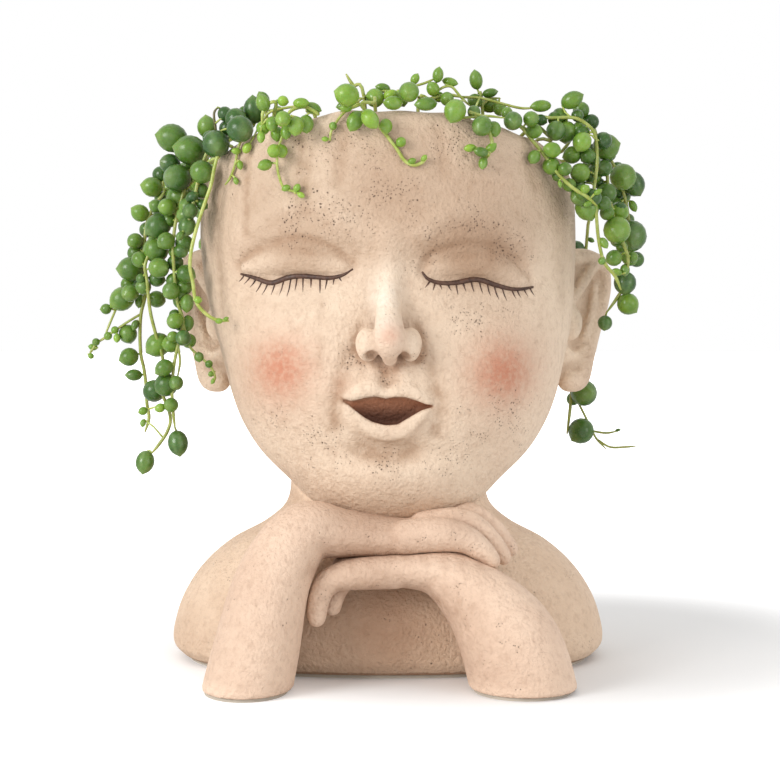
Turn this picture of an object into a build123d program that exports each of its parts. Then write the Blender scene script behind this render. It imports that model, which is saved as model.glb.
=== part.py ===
from build123d import *
import math
import os

# Head planter: a smiling head, cut open at the forehead as a plant pot, that rests its chin on
# its folded hands above a low bust. The front faces -Y, +Z is up, and the origin is the middle
# of the base on the standing plane. All sizes are in millimetres.

# Head, outside
chin_height = 52
crown_height = 189
temple_dip = 20.5
head_half_width = 67
head_front_depth = 60
head_back_depth = 63
jaw_lean = 2.2
rim_arch_half_width = 70
face_relief = 3

# Head, inside
head_wall = 7
well_floor_height = 78
drain_bore_radius = 6
plug_seat_radius = 13
drain_floor_thickness = 6

# Face features
eye_spacing = 60
eye_height = 138
lid_half_width = 20
lid_half_height = 11
lid_half_depth = 6
lid_sit = 1.6
nose_tip_height = 114
nose_tip_reach = 16
nose_root_height = 142
nose_base_height = 106.4
nose_half_width = 8
nose_wing_radius = 4.6
nostril_radius = 2.6
mouth_corner_height = 93.5
mouth_half_width = 15
mouth_drop = 8.5
mouth_sag = 1.5
mouth_depth = 10
upper_lip_radius = 2.7
lower_lip_radius = 3.4
lip_corner_radius = 0.9

# Ears
ear_height = 53.5
ear_bottom_height = 93.5
ear_reach = 82
ear_thickness = 11
ear_turn = 28
ear_depth_place = 4
ear_bowl_depth = 6.5
ear_root_overlap = 9

# Bust
shoulder_half_width = 77
shoulder_height = 50
bust_front_depth = 52
bust_back_depth = 55
neck_top_height = 84
bust_wall = 7
neck_bore_radius = 25
neck_bore_back = 5

# Arms and hands
arm_half_spread = 46
arm_front_depth = 68
arm_height = 50
arm_radius = 15
finger_radius = 4.2

# Pads
pad_thickness = 1
pad_inset = 1.5
pad_ring_width = 5

# Drain plug
plug_clearance = 0.15
plug_flange_radius = 10
plug_flange_thickness = 3
plug_lead = 0.5
plug_tab_radius = 3
plug_tab_height = 7

# Planting
grow_pot_top_height = 160
grow_pot_top_radius = 50
grow_pot_base_radius = 30
grow_pot_wall = 1.2
grow_pot_lip = 2.5
grow_pot_lip_height = 4
grow_pot_hole_radius = 4
grow_pot_hole_ring_radius = 18
grow_pot_hole_count = 4
mix_drop = 4
root_ring_radius = 43
stem_width = 1.5
pearl_radius = 4.6
pearl_pitch = 12
strand_clearance = 1.2
strand_flare = 20
strand_rise = 10
strand_hang = 95

# Fits and shared sizes
bond_line = 0.15
seat_gap = 0.3
cut_overrun = 20

head_sections = 20
well_sections = 6
head_section_points = 40
head_section_power = 2.25
section_crowding = 1.3
bust_section_points = 20
arm_sides = 20
finger_sides = 10
ear_sides = 24
pearl_sides = 5
pad_sides = 48

head_height = crown_height - chin_height
root_height = grow_pot_top_height - mix_drop + seat_gap
rim_arch_height = temple_dip / (1 - math.sqrt(1 - (head_half_width / rim_arch_half_width) ** 2))

# Rows of the head's outline: height, half width, front, back and lean to its left, as shares of
# the head's sizes and of jaw_lean.
head_outline_shares = (
    (0.000, 0.10, 0.73, -0.44, 0.8),
    (0.016, 0.27, 0.83, -0.28, 0.9),
    (0.050, 0.43, 0.90, 0.03, 1.0),
    (0.100, 0.55, 0.95, 0.32, 1.0),
    (0.168, 0.70, 0.97, 0.58, 1.0),
    (0.241, 0.80, 0.99, 0.75, 1.0),
    (0.314, 0.86, 1.00, 0.86, 1.0),
    (0.409, 0.91, 1.01, 0.94, 0.9),
    (0.511, 0.96, 1.00, 0.99, 0.6),
    (0.613, 0.99, 0.99, 1.02, 0.2),
    (0.715, 1.00, 1.02, 1.02, 0.0),
    (0.825, 0.99, 1.03, 1.00, 0.0),
    (0.934, 0.97, 1.01, 0.97, 0.0),
    (1.080, 0.93, 0.96, 0.93, 0.0),
)

# Gentle swells of the face: across and up, spread across and up, and raise, as shares of the
# head's half width, of its height, and of face_relief.
face_relief_shares = (
    (0.36, 0.690, 0.30, 0.055, 0.75),
    (-0.36, 0.690, 0.30, 0.055, 0.75),
    (0.38, 0.625, 0.30, 0.060, -1.10),
    (-0.38, 0.625, 0.30, 0.060, -1.10),
    (0.52, 0.370, 0.30, 0.130, 1.25),
    (-0.52, 0.370, 0.30, 0.130, 1.25),
    (0.00, 0.270, 0.30, 0.090, 1.10),
    (0.00, 0.185, 0.26, 0.030, -0.90),
    (0.00, 0.110, 0.26, 0.065, 1.00),
)

# An ear's edge, up its outer side and back down inside the head, as shares of its reach and height.
ear_outline_shares = (
    (0.20, 0.93), (0.60, 1.00), (0.93, 0.93), (1.00, 0.78), (0.93, 0.60),
    (0.70, 0.37), (0.54, 0.15), (0.36, 0.01), (0.10, 0.04), (-0.10, 0.45),
)

# An ear's layers from back to front: depth as a share of its thickness, and size.
ear_layer_shares = ((0.5, 0.78), (0.1, 1.0), (-0.5, 0.88))

# The rings of an ear's bowl from its mouth to its floor: depth and size as shares of the bowl's.
ear_bowl_shares = ((-0.30, 1.0), (0.10, 0.98), (0.55, 0.83), (0.85, 0.55), (1.00, 0.2))

# Rows of the bust's outline: height, half width, front and back, as shares of its sizes.
bust_outline_shares = (
    (0.000, 0.945, 0.94, 0.94),
    (0.100, 1.000, 1.00, 1.00),
    (0.300, 0.985, 0.99, 0.99),
    (0.480, 0.940, 0.95, 0.96),
    (0.660, 0.860, 0.88, 0.90),
    (0.830, 0.735, 0.76, 0.80),
    (0.960, 0.580, 0.61, 0.72),
    (1.100, 0.480, 0.54, 0.68),
    (1.300, 0.455, 0.52, 0.69),
    (1.680, 0.455, 0.52, 0.71),
)


# An arm from below its elbow to the back of its hand: across, forward and up, as shares of the
# arms' spread, depth and height, then its half depth and half thickness as shares of arm_radius.
left_arm_shares = (
    (-1.04, 1.05, -0.20, 1.37, 0.98),
    (-0.95, 1.00, 0.26, 1.27, 0.98),
    (-0.82, 0.93, 0.72, 1.00, 0.86),
    (-0.60, 0.85, 1.00, 0.87, 0.68),
    (-0.32, 0.78, 0.99, 0.87, 0.53),
    (0.10, 0.75, 0.96, 0.87, 0.43),
    (0.42, 0.76, 1.01, 0.73, 0.33),
)
right_arm_shares = (
    (1.01, 1.02, -0.20, 1.37, 1.15),
    (0.88, 0.97, 0.26, 1.27, 1.10),
    (0.70, 0.90, 0.54, 1.00, 0.92),
    (0.40, 0.81, 0.74, 0.87, 0.60),
    (0.09, 0.78, 0.77, 0.87, 0.45),
    (-0.30, 0.76, 0.75, 0.73, 0.34),
)

# The fingers of each hand: across, forward and up at the palm, the knuckle, the joint and the tip.
left_finger_shares = (
    ((0.26, 0.87, 0.99), (0.51, 0.88, 1.05), (0.66, 0.86, 0.98), (0.77, 0.85, 0.84)),
    ((0.26, 0.77, 1.00), (0.58, 0.76, 1.12), (0.75, 0.75, 1.02), (0.86, 0.74, 0.84)),
    ((0.26, 0.66, 1.00), (0.60, 0.64, 1.14), (0.79, 0.63, 1.04), (0.91, 0.62, 0.88)),
)
right_finger_shares = (
    ((-0.10, 0.88, 0.75), (-0.33, 0.90, 0.70), (-0.43, 0.90, 0.56), (-0.50, 0.90, 0.39)),
    ((-0.14, 0.76, 0.76), (-0.36, 0.77, 0.68), (-0.44, 0.77, 0.54), (-0.46, 0.77, 0.40)),
)

# The strands, each by the angle round the rim where it spills over, from the face towards the
# object's left, then its flare, rise, hang and twist as shares, and its pearls' size.
strand_shares = (
    (-50, 0.00, 0.00, 0.60, -0.02, 0.60),
    (-58, 0.20, 0.80, 0.30, 0.00, 0.85),
    (-67, 0.40, 0.00, 0.98, -0.03, 0.95),
    (-76, 0.95, 1.00, 0.97, 0.00, 0.95),
    (-86, 1.45, 0.30, 0.60, 0.00, 0.80),
    (-99, 0.40, 0.50, 0.14, 0.00, 1.00),
    (-118, 0.20, 0.10, 0.46, -0.03, 0.90),
    (-34, 0.00, 0.20, 0.12, 0.04, 0.60),
    (-22, 0.00, 0.00, 0.12, 0.00, 0.50),
    (-3, 0.00, 0.30, 0.16, 0.06, 0.50),
    (25, 0.00, 0.00, 0.14, 0.01, 0.75),
    (48, 0.10, 0.50, 0.10, 0.03, 0.90),
    (60, 0.30, 1.10, 0.20, 0.02, 0.90),
    (71, 0.65, 0.20, 0.30, 0.02, 1.00),
    (83, 0.90, 1.00, 0.42, 0.02, 1.00),
    (112, 0.20, 0.50, 0.92, 0.02, 0.90),
    (144, 0.10, 0.20, 0.40, 0.03, 0.90),
    (-148, 0.10, 0.40, 0.36, -0.03, 0.90),
)

# The shoots that stand up inside the rim: angle, rise, and pearls' size.
shoot_shares = ((-8, 1.25, 0.75), (18, 1.35, 0.75), (-70, 1.30, 0.90), (66, 1.30, 0.90))

# How the pearls of a strand differ in size, over and over.
pearl_size_shares = (0.92, 0.6, 0.84, 1.0, 0.72)

# A pearl's rings from its foot to its tip: height and radius as shares of its radius.
pearl_ring_shares = ((-0.85, 0.5), (0.0, 1.0), (0.85, 0.5))


def between(rows, height, column):
    """The smooth value of one column of a table of rows at a height share."""
    last = len(rows) - 1
    here = max(i for i in range(last) if i == 0 or rows[i][0] <= height)
    before, low = rows[max(here - 1, 0)], rows[here]
    high, after = rows[here + 1], rows[min(here + 2, last)]
    span = high[0] - low[0]
    t = (height - low[0]) / span
    slope_low = (high[column] - before[column]) / (high[0] - before[0]) * span
    slope_high = (after[column] - low[column]) / (after[0] - low[0]) * span
    return (
        (2 * t**3 - 3 * t**2 + 1) * low[column]
        + (t**3 - 2 * t**2 + t) * slope_low
        + (3 * t**2 - 2 * t**3) * high[column]
        + (t**3 - t**2) * slope_high
    )


def signed_power(value, power):
    """A value raised to a power, with its sign kept."""
    return math.copysign(abs(value) ** power, value)


def relief(across, height):
    """How far the face swells forward at a place across and up the head."""
    swell = 0
    for share_x, share_z, spread_x, spread_z, raise_share in face_relief_shares:
        away_x = (across / head_half_width - share_x) / spread_x
        away_z = ((height - chin_height) / head_height - share_z) / spread_z
        swell += raise_share * face_relief * math.exp(-(away_x**2) - away_z**2)
    return swell


def head_at(height, grow):
    """Half width, middle in depth and half depth of the head at a height."""
    share = (height - chin_height) / head_height
    half_width = between(head_outline_shares, share, 1) * head_half_width + grow
    front = between(head_outline_shares, share, 2) * head_front_depth + grow
    back = between(head_outline_shares, share, 3) * head_back_depth + grow
    return half_width, (back - front) / 2, (back + front) / 2


def section_heights(low, high, count):
    """Heights from low to high, a little closer together near low."""
    return [low + (high - low) * (step / (count - 1)) ** section_crowding for step in range(count)]


def lean_at(height):
    """How far the head leans to its left at a height."""
    return between(head_outline_shares, (height - chin_height) / head_height, 4) * jaw_lean


def head_form(grow, heights, with_relief):
    """The head's closed form through sections at some heights, grown or shrunk all round."""
    sections = []
    for height in heights:
        half_width, middle, half_depth = head_at(height, grow)
        points = []
        for place in range(head_section_points):
            angle = 2 * math.pi * place / head_section_points
            x = half_width * signed_power(math.sin(angle), 2 / head_section_power)
            y = middle + half_depth * signed_power(math.cos(angle), 2 / head_section_power)
            if with_relief and math.cos(angle) < 0:
                y -= relief(x, height) * min(1, -2 * math.cos(angle))
            points.append((lean_at(height) + x, y, height))
        sections.append(Wire(Edge.make_spline(points, periodic=True)))
    return Part() + Solid.make_loft(sections, ruled=True)


def head_outside(grow):
    """The head's outer form, from the chin to above the crown."""
    top = chin_height + head_outline_shares[-1][0] * head_height
    return head_form(grow, section_heights(chin_height, top, head_sections), True)


def face_front(across, height):
    """Where the face's front surface lies in depth at a place across and up the head."""
    half_width, middle, half_depth = head_at(height, 0)
    inside = max(0, 1 - abs((across - lean_at(height)) / half_width) ** head_section_power)
    return middle - half_depth * inside ** (1 / head_section_power) - relief(across, height)


def faceted(rings):
    """A closed solid with flat facets from each ring of points to the next."""
    flats = [rings[0], rings[-1]]
    for low, high in zip(rings, rings[1:]):
        for side in range(len(low)):
            after = (side + 1) % len(low)
            flats.append((low[side], low[after], high[after]))
            flats.append((low[side], high[after], high[side]))
    return Part() + Solid(Shell([Face(Wire.make_polygon(flat, close=True)) for flat in flats]))


def around(half_side, half_other, sides):
    """The corners of an ellipse drawn with straight sides."""
    turns = [2 * math.pi * side / sides for side in range(sides)]
    return [(half_side * math.cos(turn), half_other * math.sin(turn)) for turn in turns]


def limb(points, radii, sides):
    """A limb through ellipses on a list of points, each square to the way from point to point."""
    spine = [Vector(*point) for point in points]
    rings = []
    for index, (center, (half_side, half_other)) in enumerate(zip(spine, radii)):
        way = (spine[min(index + 1, len(spine) - 1)] - spine[max(index - 1, 0)]).normalized()
        forward = Vector(0, 1, 0)
        plane = Plane(origin=center, x_dir=forward - way * forward.dot(way), z_dir=way)
        corners = around(half_side, half_other, sides)
        rings.append([plane.from_local_coords((*corner, 0)) for corner in corners])
    return faceted(rings)


def finger(points, radius):
    """A finger: a limb that tapers from the palm over its joints to a small rounded tip."""
    taper_shares = (1.12, 1.05, 0.92, 0.5)
    return limb(points, [(radius * share, radius * share) for share in taper_shares], finger_sides)


def rim_cutter():
    """What the open top removes: everything above an arch that dips at both temples."""
    foot = crown_height - rim_arch_height
    half = rim_arch_half_width + cut_overrun
    block = Pos(0, 0, foot) * Box(
        2 * half, 2 * half, 2 * rim_arch_height, align=(Align.CENTER, Align.CENTER, Align.MIN)
    )
    arch = extrude(Plane.XZ * Ellipse(rim_arch_half_width, rim_arch_height), amount=2 * half, both=True)
    return block - Pos(0, 0, foot) * arch


def nose():
    """The nose's ridge, tip and two wings."""
    rows = (
        (nose_root_height, 0.80, 0.10),
        (nose_root_height * 0.45 + nose_tip_height * 0.55, 0.75, 0.45),
        (nose_tip_height * 0.85 + nose_root_height * 0.15, 0.85, 0.82),
        (nose_tip_height, 1.00, 1.00),
        (nose_tip_height * 0.4 + nose_base_height * 0.6, 0.90, 0.88),
        (nose_base_height, 0.60, 0.55),
    )
    rings = []
    for height, width_share, reach_share in rows:
        skin = face_front(0, height)
        root = skin + nose_half_width
        tip = skin - nose_tip_reach * reach_share
        plane = Plane(origin=(0, (root + tip) / 2, height))
        rings.append((plane * Ellipse(nose_half_width * width_share, (root - tip) / 2)).face().outer_wire())
    form = Part() + Solid.make_loft(rings, ruled=True)
    wing_height = (nose_tip_height + nose_base_height) / 2
    for side in (-1, 1):
        across = side * nose_half_width * 0.82
        wing_front = face_front(across, wing_height) - nose_wing_radius * 0.7
        form += Pos(across, wing_front, wing_height + nose_wing_radius * 0.1) * Sphere(nose_wing_radius)
    return form


def nostrils():
    """The two hollows under the nose's tip."""
    hollows = []
    for side in (-1, 1):
        across = side * nose_half_width * 0.55
        front = face_front(across, nose_base_height) - nose_tip_reach * 0.35
        hollows.append(Pos(across, front, nose_base_height) * Sphere(nostril_radius))
    return hollows


def lip(sag, radius):
    """One lip, a tapered roll from one mouth corner to the other that sags in its middle."""
    across_shares = (-1.0, -0.5, 0.0, 0.5, 1.0)
    points = []
    radii = []
    for share in across_shares:
        across = share * mouth_half_width
        height = mouth_corner_height - sag * (1 - share**2)
        points.append((across, face_front(across, height) + radius * 0.25, height))
        thick = lip_corner_radius + (radius - lip_corner_radius) * (1 - share**2)
        radii.append((thick * 1.15, thick))
    return limb(points, radii, finger_sides)


def mouth_opening():
    """The crescent between the lips, cut straight back into the head."""
    front = face_front(0, mouth_corner_height) - lower_lip_radius * 2
    depth = lower_lip_radius * 2 + mouth_depth
    corner_left = (-mouth_half_width, mouth_corner_height)
    corner_right = (mouth_half_width, mouth_corner_height)
    with BuildSketch(Plane(origin=(0, front, 0), x_dir=(1, 0, 0), z_dir=(0, -1, 0))) as outline:
        with BuildLine():
            ThreePointArc(corner_left, (0, mouth_corner_height - mouth_sag), corner_right)
            ThreePointArc(corner_right, (0, mouth_corner_height - mouth_drop), corner_left)
        make_face()
    return extrude(outline.sketch, amount=-depth)


def closed_lid(side):
    """One closed eyelid, a shallow swell in its socket."""
    across = side * eye_spacing / 2
    skin = face_front(across, eye_height)
    edge = face_front(across + side * lid_half_width / 2, eye_height)
    turn = side * math.degrees(math.atan2(edge - skin, lid_half_width / 2))
    return Pos(across, skin + lid_half_depth - lid_sit, eye_height) * Rot(Z=turn) * scale(
        Sphere(1), by=(lid_half_width, lid_half_depth, lid_half_height)
    )


def well():
    """The planting space: the head's form less its wall, from the well floor up."""
    top = chin_height + head_outline_shares[-1][0] * head_height
    return head_form(-head_wall, section_heights(well_floor_height, top, well_sections), False)


def make_head_shell(outer):
    """The head as cast, with its face, planting space, arched rim and drain."""
    lips = [lip(mouth_sag, upper_lip_radius), lip(mouth_drop, lower_lip_radius)]
    raised = [nose(), *lips, closed_lid(-1), closed_lid(1)]
    drain = Pos(0, neck_bore_back, well_floor_height) * Cylinder(drain_bore_radius, head_height)
    seat_height = well_floor_height - drain_floor_thickness
    plug_seat = Pos(0, neck_bore_back, seat_height) * Cylinder(
        plug_seat_radius, seat_height, align=(Align.CENTER, Align.CENTER, Align.MAX)
    )
    return outer + raised - [well(), rim_cutter(), mouth_opening(), *nostrils(), drain, plug_seat]


def make_ear(side, head_keepout):
    """One ear: a rounded leaf with a hollow bowl, turned to face forward and seated on the head."""
    root = head_half_width - ear_root_overlap
    reach = ear_reach - root
    edge = Edge.make_spline(
        [(side * reach * across, 0, ear_height * up) for across, up in ear_outline_shares], periodic=True
    )
    corners = [edge @ (step / ear_sides) for step in range(ear_sides)]
    middle = Vector(side * reach / 2, 0, ear_height / 2)
    layers = []
    for depth_share, size_share in ear_layer_shares:
        depth = Vector(0, ear_thickness * depth_share, 0)
        layers.append([middle + (corner - middle) * size_share + depth for corner in corners])
    leaf = faceted(layers)
    bowl_rings = []
    for depth_share, size_share in ear_bowl_shares:
        depth = ear_bowl_depth * depth_share - ear_thickness / 2
        ring = around(reach * 0.32 * size_share, ear_height * 0.27 * size_share, ear_sides)
        bowl_rings.append([(side * reach * 0.52 + x, depth, ear_height * 0.62 + z) for x, z in ring])
    bowl = faceted(bowl_rings)
    place = Pos(jaw_lean + side * root, ear_depth_place, ear_bottom_height) * Rot(Z=side * ear_turn)
    return place * (leaf - bowl) - head_keepout


def bust_ring(row, grow, count):
    """Points round the bust at one row of its outline, grown or shrunk all round."""
    height_share, width_share, front_share, back_share = row
    front = front_share * bust_front_depth + grow
    back = back_share * bust_back_depth + grow
    half_width = width_share * shoulder_half_width + grow
    points = []
    for place in range(count):
        angle = 2 * math.pi * place / count
        x = half_width * signed_power(math.sin(angle), 2 / head_section_power)
        y = (back - front) / 2 + (back + front) / 2 * signed_power(math.cos(angle), 2 / head_section_power)
        points.append((x, y, pad_thickness + height_share * (shoulder_height - pad_thickness)))
    return points


def bust_form(grow, rows):
    """The bust's closed form through some rows of its outline, grown or shrunk all round."""
    rings = [Wire(Edge.make_spline(bust_ring(row, grow, bust_section_points), periodic=True)) for row in rows]
    return Part() + Solid.make_loft(rings, ruled=True)


def make_bust(outer, head_keepout):
    """The hollow shoulders and neck, open underneath."""
    hollow = bust_form(-bust_wall, bust_outline_shares[0:6:2] + bust_outline_shares[5:6])
    foot = extrude(hollow.faces().sort_by(Axis.Z)[0], amount=shoulder_height / 2)
    bore = Pos(0, neck_bore_back, neck_top_height / 2) * Cylinder(neck_bore_radius, neck_top_height)
    return outer - [hollow, foot, bore, head_keepout]


def arm_places(shares):
    """Places in an arm, from their shares of the arms' spread, depth and height."""
    return [
        (across * arm_half_spread, -forward * arm_front_depth, up * arm_height)
        for across, forward, up, *rest in shares
    ]


def make_arm(arm_shares, finger_shares, keepouts):
    """One forearm and hand in a single casting, cut to seat against its neighbours."""
    radii = [(depth * arm_radius, thickness * arm_radius) for *place, depth, thickness in arm_shares]
    fingers = [finger(arm_places(shares), finger_radius) for shares in finger_shares]
    arm = limb(arm_places(arm_shares), radii, arm_sides) + fingers
    reach = 4 * arm_half_spread
    below = Pos(0, 0, pad_thickness) * Box(reach, reach, reach, align=(Align.CENTER, Align.CENTER, Align.MAX))
    return arm - [below, *keepouts]


def elbow_pad(arm):
    """The thin pad under an elbow, a little smaller than the arm's flat foot."""
    foot = arm.faces().sort_by(Axis.Z)[0]
    size = foot.bounding_box()
    center = size.center()
    outline = Ellipse(size.size.X / 2 - pad_inset, size.size.Y / 2 - pad_inset)
    return Pos(center.X, center.Y, 0) * extrude(outline, amount=pad_thickness)


def base_pad():
    """The ring-shaped pad under the bust's wall."""
    flats = []
    for grow in (-pad_inset, -pad_inset - pad_ring_width):
        ring = bust_ring(bust_outline_shares[0], grow, pad_sides)
        flats.append(Face(Wire.make_polygon([(x, y, 0) for x, y, z in ring], close=True)))
    return extrude(flats[0] - flats[1], amount=pad_thickness, dir=(0, 0, 1))


def drain_plug():
    """The rubber plug, pushed up into the drain from inside the neck."""
    seat_height = well_floor_height - drain_floor_thickness
    low = (Align.CENTER, Align.CENTER, Align.MIN)
    high = (Align.CENTER, Align.CENTER, Align.MAX)
    stem = Cylinder(drain_bore_radius - plug_clearance, drain_floor_thickness - plug_lead, align=low)
    flange = Cylinder(plug_flange_radius, plug_flange_thickness, align=high)
    tab = Pos(0, 0, -plug_flange_thickness) * Cylinder(plug_tab_radius, plug_tab_height, align=high)
    return Pos(0, neck_bore_back, seat_height) * (flange + [stem, tab])


def grow_pot():
    """The thin nursery pot that the plants stand in, tapered, lipped and holed underneath."""
    base = well_floor_height + seat_gap
    rise = grow_pot_top_height - base
    middle = base + rise / 2
    outer = Pos(0, 0, middle) * Cone(grow_pot_base_radius, grow_pot_top_radius, rise)
    inner = Pos(0, 0, middle + grow_pot_wall) * Cone(
        grow_pot_base_radius - grow_pot_wall, grow_pot_top_radius - grow_pot_wall, rise
    )
    lip_ring = Pos(0, 0, grow_pot_top_height) * Cylinder(
        grow_pot_top_radius + grow_pot_lip, grow_pot_lip_height, align=(Align.CENTER, Align.CENTER, Align.MAX)
    )
    hole = Pos(0, 0, base) * Cylinder(grow_pot_hole_radius, 4 * grow_pot_wall)
    holes = [loc * hole for loc in PolarLocations(grow_pot_hole_ring_radius, grow_pot_hole_count)]
    return outer + lip_ring - [inner, *holes]


def potting_mix():
    """The mix that fills the nursery pot."""
    base = well_floor_height + seat_gap + grow_pot_wall + seat_gap
    top = grow_pot_top_height - mix_drop
    pot_rise = grow_pot_top_height - well_floor_height - seat_gap
    slope = (grow_pot_top_radius - grow_pot_base_radius) / pot_rise
    low_radius = grow_pot_base_radius - grow_pot_wall - seat_gap
    return Pos(0, 0, (base + top) / 2) * Cone(low_radius, low_radius + slope * (top - base), top - base)


def rim_height(across):
    """The height of the rim's arch at a place across the head."""
    inside = max(0, 1 - (across / rim_arch_half_width) ** 2)
    return crown_height - rim_arch_height * (1 - math.sqrt(inside))


def beside(angle, out):
    """The place in plan at an angle round the head, a distance outside its widest outline."""
    turn = math.radians(angle)
    middle = (head_back_depth - head_front_depth) / 2
    half_depth = (head_back_depth + head_front_depth) / 2 + face_relief + out
    x = (head_half_width + out) * signed_power(math.sin(turn), 2 / head_section_power)
    return x, middle - half_depth * signed_power(math.cos(turn), 2 / head_section_power)


def inside_ring(angle, radius):
    """The place in plan at an angle and radius about the pot's axis."""
    turn = math.radians(angle)
    return radius * math.sin(turn), -radius * math.cos(turn)


def pearls_on(places, size):
    """A pearl for each place on a stem, as its centre and radius, of sizes that repeat in turn."""
    return [
        (place, pearl_radius * size * pearl_size_shares[index % len(pearl_size_shares)])
        for index, place in enumerate(places)
    ]


def strand_line(angle, flare, rise, hang, twist, size):
    """A strand's knots, from the mix, over the rim and down, and its pearls as centre and radius."""
    near = pearl_radius * size + strand_clearance
    inner = beside(angle, -head_wall - near)
    over = beside(angle, -head_wall / 2)
    spill = beside(angle, near + flare * strand_flare / 2)
    crest_height = max(rim_height(inner[0]), grow_pot_top_height) + near + rise * strand_rise
    spill_height = rim_height(beside(angle, 0)[0]) + rise * strand_rise / 2
    root = inside_ring(angle, root_ring_radius)
    knots = [
        (*root, root_height),
        (*root, root_height + 2 * stem_width),
        (*inner, crest_height),
        (*over, crest_height + near / 4),
        (*spill, spill_height),
    ]
    drop = hang * strand_hang
    count = max(1, round(drop / pearl_pitch))
    for step in range(1, count + 1):
        share = step / count
        out = near + flare * strand_flare * (1 + share) / 2
        place = beside(angle + twist * 180 * share, out)
        knots.append((*place, spill_height - drop * share))
    return knots, pearls_on(knots[3:], size)


def shoot_line(angle, rise, size):
    """An upright shoot's knots and pearls, inside the rim."""
    foot = inside_ring(angle, root_ring_radius - pearl_radius)
    top = crown_height + rise * strand_rise
    count = max(2, round((top - root_height) / pearl_pitch))
    knots = [(*foot, root_height + (top - root_height) * step / count) for step in range(count + 1)]
    return knots, pearls_on(knots[1:], size)


def pearl():
    """A leaf of one unit's radius: a low-sided ball, flat on each side."""
    rings = []
    for height, radius in pearl_ring_shares:
        rings.append([(*corner, height) for corner in around(radius, radius, pearl_sides)])
    return faceted(rings)


def make_strand(knots, pearls):
    """One strand: a thin stem from knot to knot with a pearl on each."""
    unit = pearl()
    pieces = [Pos(*center) * scale(unit, by=radius) for center, radius in pearls]
    for low, high in zip(knots, knots[1:]):
        way = Vector(*high) - Vector(*low)
        rod = extrude(Rectangle(stem_width, stem_width), amount=way.length + stem_width / 2)
        pieces.append(Plane(origin=low, z_dir=way) * rod)
    return pieces[0] + pieces[1:]


os.makedirs("parts", exist_ok=True)

head_outer = head_outside(0)
head_keepout = head_outside(bond_line)
bust_outer = bust_form(0, bust_outline_shares)
bust_keepout = bust_form(bond_line, bust_outline_shares)
left_arm = make_arm(left_arm_shares, left_finger_shares, [head_keepout, bust_keepout])
right_arm = make_arm(right_arm_shares, right_finger_shares, [head_keepout, bust_keepout, left_arm])

nodes = {
    "head_shell": make_head_shell(head_outer),
    "left_ear": make_ear(-1, head_keepout),
    "right_ear": make_ear(1, head_keepout),
    "bust": make_bust(bust_outer, head_keepout),
    "left_arm": left_arm,
    "right_arm": right_arm,
    "left_elbow_pad": elbow_pad(left_arm),
    "right_elbow_pad": elbow_pad(right_arm),
    "base_pad": base_pad(),
    "drain_plug": drain_plug(),
    "grow_pot": grow_pot(),
    "potting_mix": potting_mix(),
}
for number, shares in enumerate(strand_shares, 1):
    nodes[f"strand_{number:02d}"] = make_strand(*strand_line(*shares))
for number, shares in enumerate(shoot_shares, 1):
    nodes[f"shoot_{number}"] = make_strand(*shoot_line(*shares))

for name, piece in nodes.items():
    export_step(piece, f"parts/{name}.step")
    print(name, piece.is_valid, len(piece.solids()), round(piece.volume))
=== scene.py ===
import math
import bpy
import numpy as np
import openvdb
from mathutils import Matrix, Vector


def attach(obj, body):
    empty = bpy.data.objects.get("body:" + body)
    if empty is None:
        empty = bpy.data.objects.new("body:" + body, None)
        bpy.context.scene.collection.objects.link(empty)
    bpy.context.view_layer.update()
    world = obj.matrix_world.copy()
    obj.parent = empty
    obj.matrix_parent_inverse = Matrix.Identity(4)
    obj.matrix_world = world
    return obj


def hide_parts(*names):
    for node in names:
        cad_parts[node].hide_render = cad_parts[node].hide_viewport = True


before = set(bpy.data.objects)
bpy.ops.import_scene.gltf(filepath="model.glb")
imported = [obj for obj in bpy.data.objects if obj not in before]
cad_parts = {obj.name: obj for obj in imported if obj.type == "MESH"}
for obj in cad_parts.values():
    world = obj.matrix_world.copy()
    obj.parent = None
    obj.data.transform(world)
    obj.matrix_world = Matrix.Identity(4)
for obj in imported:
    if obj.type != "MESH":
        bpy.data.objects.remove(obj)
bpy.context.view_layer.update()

# Sizes are in millimetres, in the frame of the solids: the face looks along -Y, +Z is up.
MM = 0.001

# The photograph's view, in its own pixels
frame_width_px = 780
focal_px = 1833
centre_px = (388, 390)
camera_distance = 660
camera_height = 115
camera_pitch_deg = 1.69

# Head
chin_height = 52
crown_height = 189
temple_dip = 20.5
head_half_width = 67
head_front_depth = 60
head_back_depth = 63
jaw_lean = 2.2
rim_arch_half_width = 70
head_wall = 7
well_floor_height = 78
drain_bore_radius = 6
plug_seat_radius = 13
drain_floor_thickness = 6
neck_bore_back = 5
face_relief = 3
head_power = 2.25
rim_round = 1.6
clay_step = 0.8
head_box = ((-88, -86, 45), (88, 70, 192))
well_floor_round = 6
rim_slack = 0.02

# The rim's unevenness: the height of each wave, its length across and in depth, and where it starts.
rim_wobbles = ((0.35, 5.3, math.inf, 1.1), (0.3, 2.9, 6.1, 0))

# Lines of sight are followed between these depths, in this many steps, and straight back in depth_step.
sight_start = -86
sight_end = 20
face_sight_end = 0
sight_steps = 600
depth_step = 0.25

# Ears
ear_height = 53.5
ear_bottom_height = 93.5
ear_reach = 82
ear_turn_deg = 28
ear_depth_place = 4
ear_root_overlap = 9

# Bust
shoulder_half_width = 77
shoulder_height = 50
bust_front_depth = 52
bust_back_depth = 55
bust_wall = 7
neck_bore_radius = 25
pad_thickness = 1
bond_line = 0.15
bust_box = ((-82, -58, -1), (82, 62, 80))
bust_hollow_height_share = 0.83
bust_hollow_round = 6
bust_foot_round = 1.5

# Arms
arm_half_spread = 46
arm_front_depth = 68
arm_height = 50
arm_radius = 15
arm_margin = 3
arm_blend = 0.5
finger_blend = 1.0
elbow_round = 1.2
seat_round = 0.8

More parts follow.
